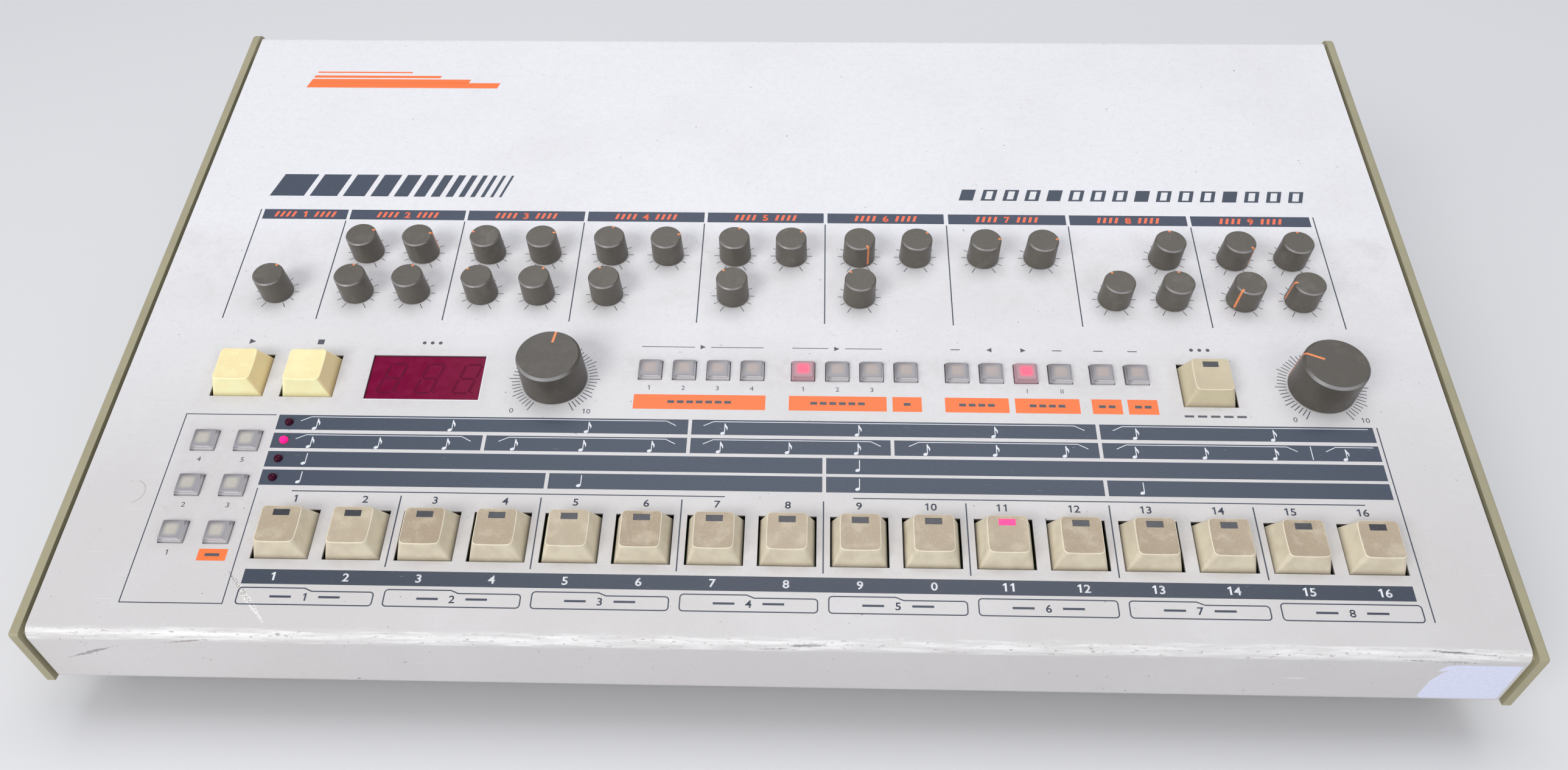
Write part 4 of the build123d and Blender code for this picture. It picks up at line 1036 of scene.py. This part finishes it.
def add_buttons():
    """Caps that stand for the two button nodes, each with its own coordinates and light."""
    cap = button_cap()
    upper_places = [(x, UPPER_ROW) for x in UPPER_BUTTONS]
    for node, places, lit in (("side_buttons", SIDE_BUTTONS, ()),
                              ("upper_buttons", upper_places, LIT_UPPER)):
        bm = bmesh.new()
        local = bm.loops.layers.uv.new("local")
        glow = bm.verts.layers.float.new("lit")
        for i, (x, s) in enumerate(places):
            first_vertex, first_face = len(bm.verts), len(bm.faces)
            bm.from_mesh(cap)
            bm.verts.ensure_lookup_table()
            bm.faces.ensure_lookup_table()
            for face in bm.faces[first_face:]:
                for loop in face.loops:
                    loop[local].uv = loop.vert.co.xy
            for vertex in bm.verts[first_vertex:]:
                vertex[glow] = 1.0 if i in lit else 0.0
                vertex.co.x += x
                vertex.co.y += s
        made = piece(node + "_caps", bm, BUTTON, node)
        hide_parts(node)
    bpy.data.meshes.remove(cap)


DIGIT_WIDTH, DIGIT_HEIGHT, DIGIT_PITCH = 6.0, 13.2, 13.8
DIGIT_LEAN = 0.26  # mm to the right for each mm up
BEHIND_WINDOW = {"low": -0.62, "high": -0.585}


def digit_segments():
    """The two ends of each of a digit's seven segments, before they lean."""
    middle, gap = DIGIT_HEIGHT / 2, 0.5
    for s in (0.0, middle, DIGIT_HEIGHT):
        yield (gap, s), (DIGIT_WIDTH - gap, s)
    for low in (0.0, middle):
        for x in (0.0, DIGIT_WIDTH):
            yield (x, low + gap), (x, low + middle - gap)


def add_display():
    """Faint unlit segments behind the red window, and the window's pale rim."""
    segments = bmesh.new()
    for k in range(3):
        left, low = WINDOW[0] - 17.2 + DIGIT_PITCH * k, WINDOW[1] - DIGIT_HEIGHT / 2
        for ends in digit_segments():
            a, b = [(left + x + DIGIT_LEAN * s, low + s) for x, s in ends]
            line(segments, a, b, 1.0, **BEHIND_WINDOW)
        disc(segments, left + DIGIT_WIDTH + 1.4, low + 0.2, 0.5, sides=12, **BEHIND_WINDOW)
    piece("display_segments", segments, SEGMENT)
    rim = bmesh.new()
    left, right = WINDOW[0] - 20.95, WINDOW[0] + 20.95
    low, high = WINDOW[1] - 10.3, WINDOW[1] + 10.3
    stroke(rim, ((left, low), (right, low), (right, high)), 0.45)
    piece("window_edge", rim, WHITE)


TORN_EDGE = (  # on the front face, from the label's top down its left side
    (215.6, 38.0), (213.4, 37.3), (212.4, 36.2), (211.6, 34.8), (213.2, 34.9), (214.9, 35.0),
    (213.8, 34.0), (213.3, 33.0), (212.6, 31.8), (211.5, 30.0), (211.2, 26.0), (210.9, 22.0), (211.4, 20.7))


def add_label():
    """The torn paper label at the right of the front face, left blank."""
    paper = Shade("label_paper", rgb(224, 227, 248), 0.5, Specular_IOR_Level=0.4)
    grain = paper.noise(paper.place(), 0.9, 4.0, 0.6)
    paper.tint(paper.step(grain, 0.3, 0.7), rgb(216, 220, 242))
    paper.bump(grain, 0.00004, 0.4)
    bm = bmesh.new()
    prism(bm, ((212.4, 20.4), (236.6, 20.4), (236.9, 21.0), (236.9, 37.9), *TORN_EDGE), high=0.09)
    piece("label", bm, paper.material, matrix=FRONT)


finish_cad_nodes()
print_headers()
print_section_lines()
print_knob_scales()
print_scale_bars()
print_scale_notes()
print_key_row()
print_number_bar()
print_tabs()
print_frames()
print_orange_bars()
print_control_marks()
print_stripes()
add_lenses()
add_pointers()
add_buttons()
add_display()
add_label()


# ---- floor, light and camera
def add_floor():
    half = 3.0
    corners = ((-half, -half, 0), (half, -half, 0), (half, half, 0), (-half, half, 0))
    bm = bmesh.new()
    bm.faces.new([bm.verts.new(corner) for corner in corners])
    mesh = bpy.data.meshes.new("floor")
    bm.to_mesh(mesh)
    bm.free()
    floor = linked("floor", mesh)
    shade = Shade("floor_paint", rgb(226, 226, 228), 0.8, Specular_IOR_Level=0.2)
    mesh.materials.append(shade.material)


def area_light(name, place, size, power, colour, spread=180):
    """A soft rectangle of light, aimed at the middle of the machine."""
    lamp = bpy.data.lights.new(name, "AREA")
    lamp.shape = "RECTANGLE"
    lamp.size, lamp.size_y = size
    lamp.energy = power
    lamp.color = colour
    lamp.spread = math.radians(spread)
    holder = linked(name, lamp)
    holder.location = place
    aim = Vector((0, 0, 0.05)) - Vector(place)
    holder.rotation_euler = aim.to_track_quat("-Z", "Y").to_euler()


def add_light():
    area_light("front_left_softbox", (-1.3, -1.7, 1.3), (1.3, 1.0), 8.8, (1.0, 0.99, 0.97), spread=95)
    area_light("front_right_softbox", (1.3, -1.5, 1.45), (1.1, 0.9), 1.6, (0.98, 0.99, 1.0), spread=95)
    area_light("top_softbox", (0.1, 0.5, 2.1), (2.0, 1.4), 18.0, (0.97, 0.98, 1.0))
    world = bpy.data.worlds.new("studio")
    bpy.context.scene.world = world
    world.use_nodes = True
    background = world.node_tree.nodes["Background"].inputs
    background["Color"].default_value = rgb(228, 230, 236)
    background["Strength"].default_value = 0.52


def add_camera():
    """The camera of the photograph, as fitted to the layout of the controls."""
    lens = bpy.data.cameras.new("camera")
    lens.sensor_fit = "HORIZONTAL"
    lens.sensor_width = 36.0
    lens.lens = 24.628
    lens.shift_x = 0.0015
    lens.shift_y = 0.1284
    lens.clip_start = 0.01
    camera = linked("camera", lens)
    right = Vector((0.99965417, 0.02557003, -0.00614165))
    up = Vector((-0.01538657, 0.75812132, 0.65193199))
    back = Vector((0.02132604, -0.65161203, 0.75825257))
    turn = Matrix((right, up, back)).transposed().to_4x4()
    camera.matrix_world = Matrix.Translation((0.011428, -0.354683, 0.310306)) @ turn
    bpy.context.scene.camera = camera


add_floor()
add_light()
add_camera()
bpy.context.scene.view_settings.view_transform = "Standard"
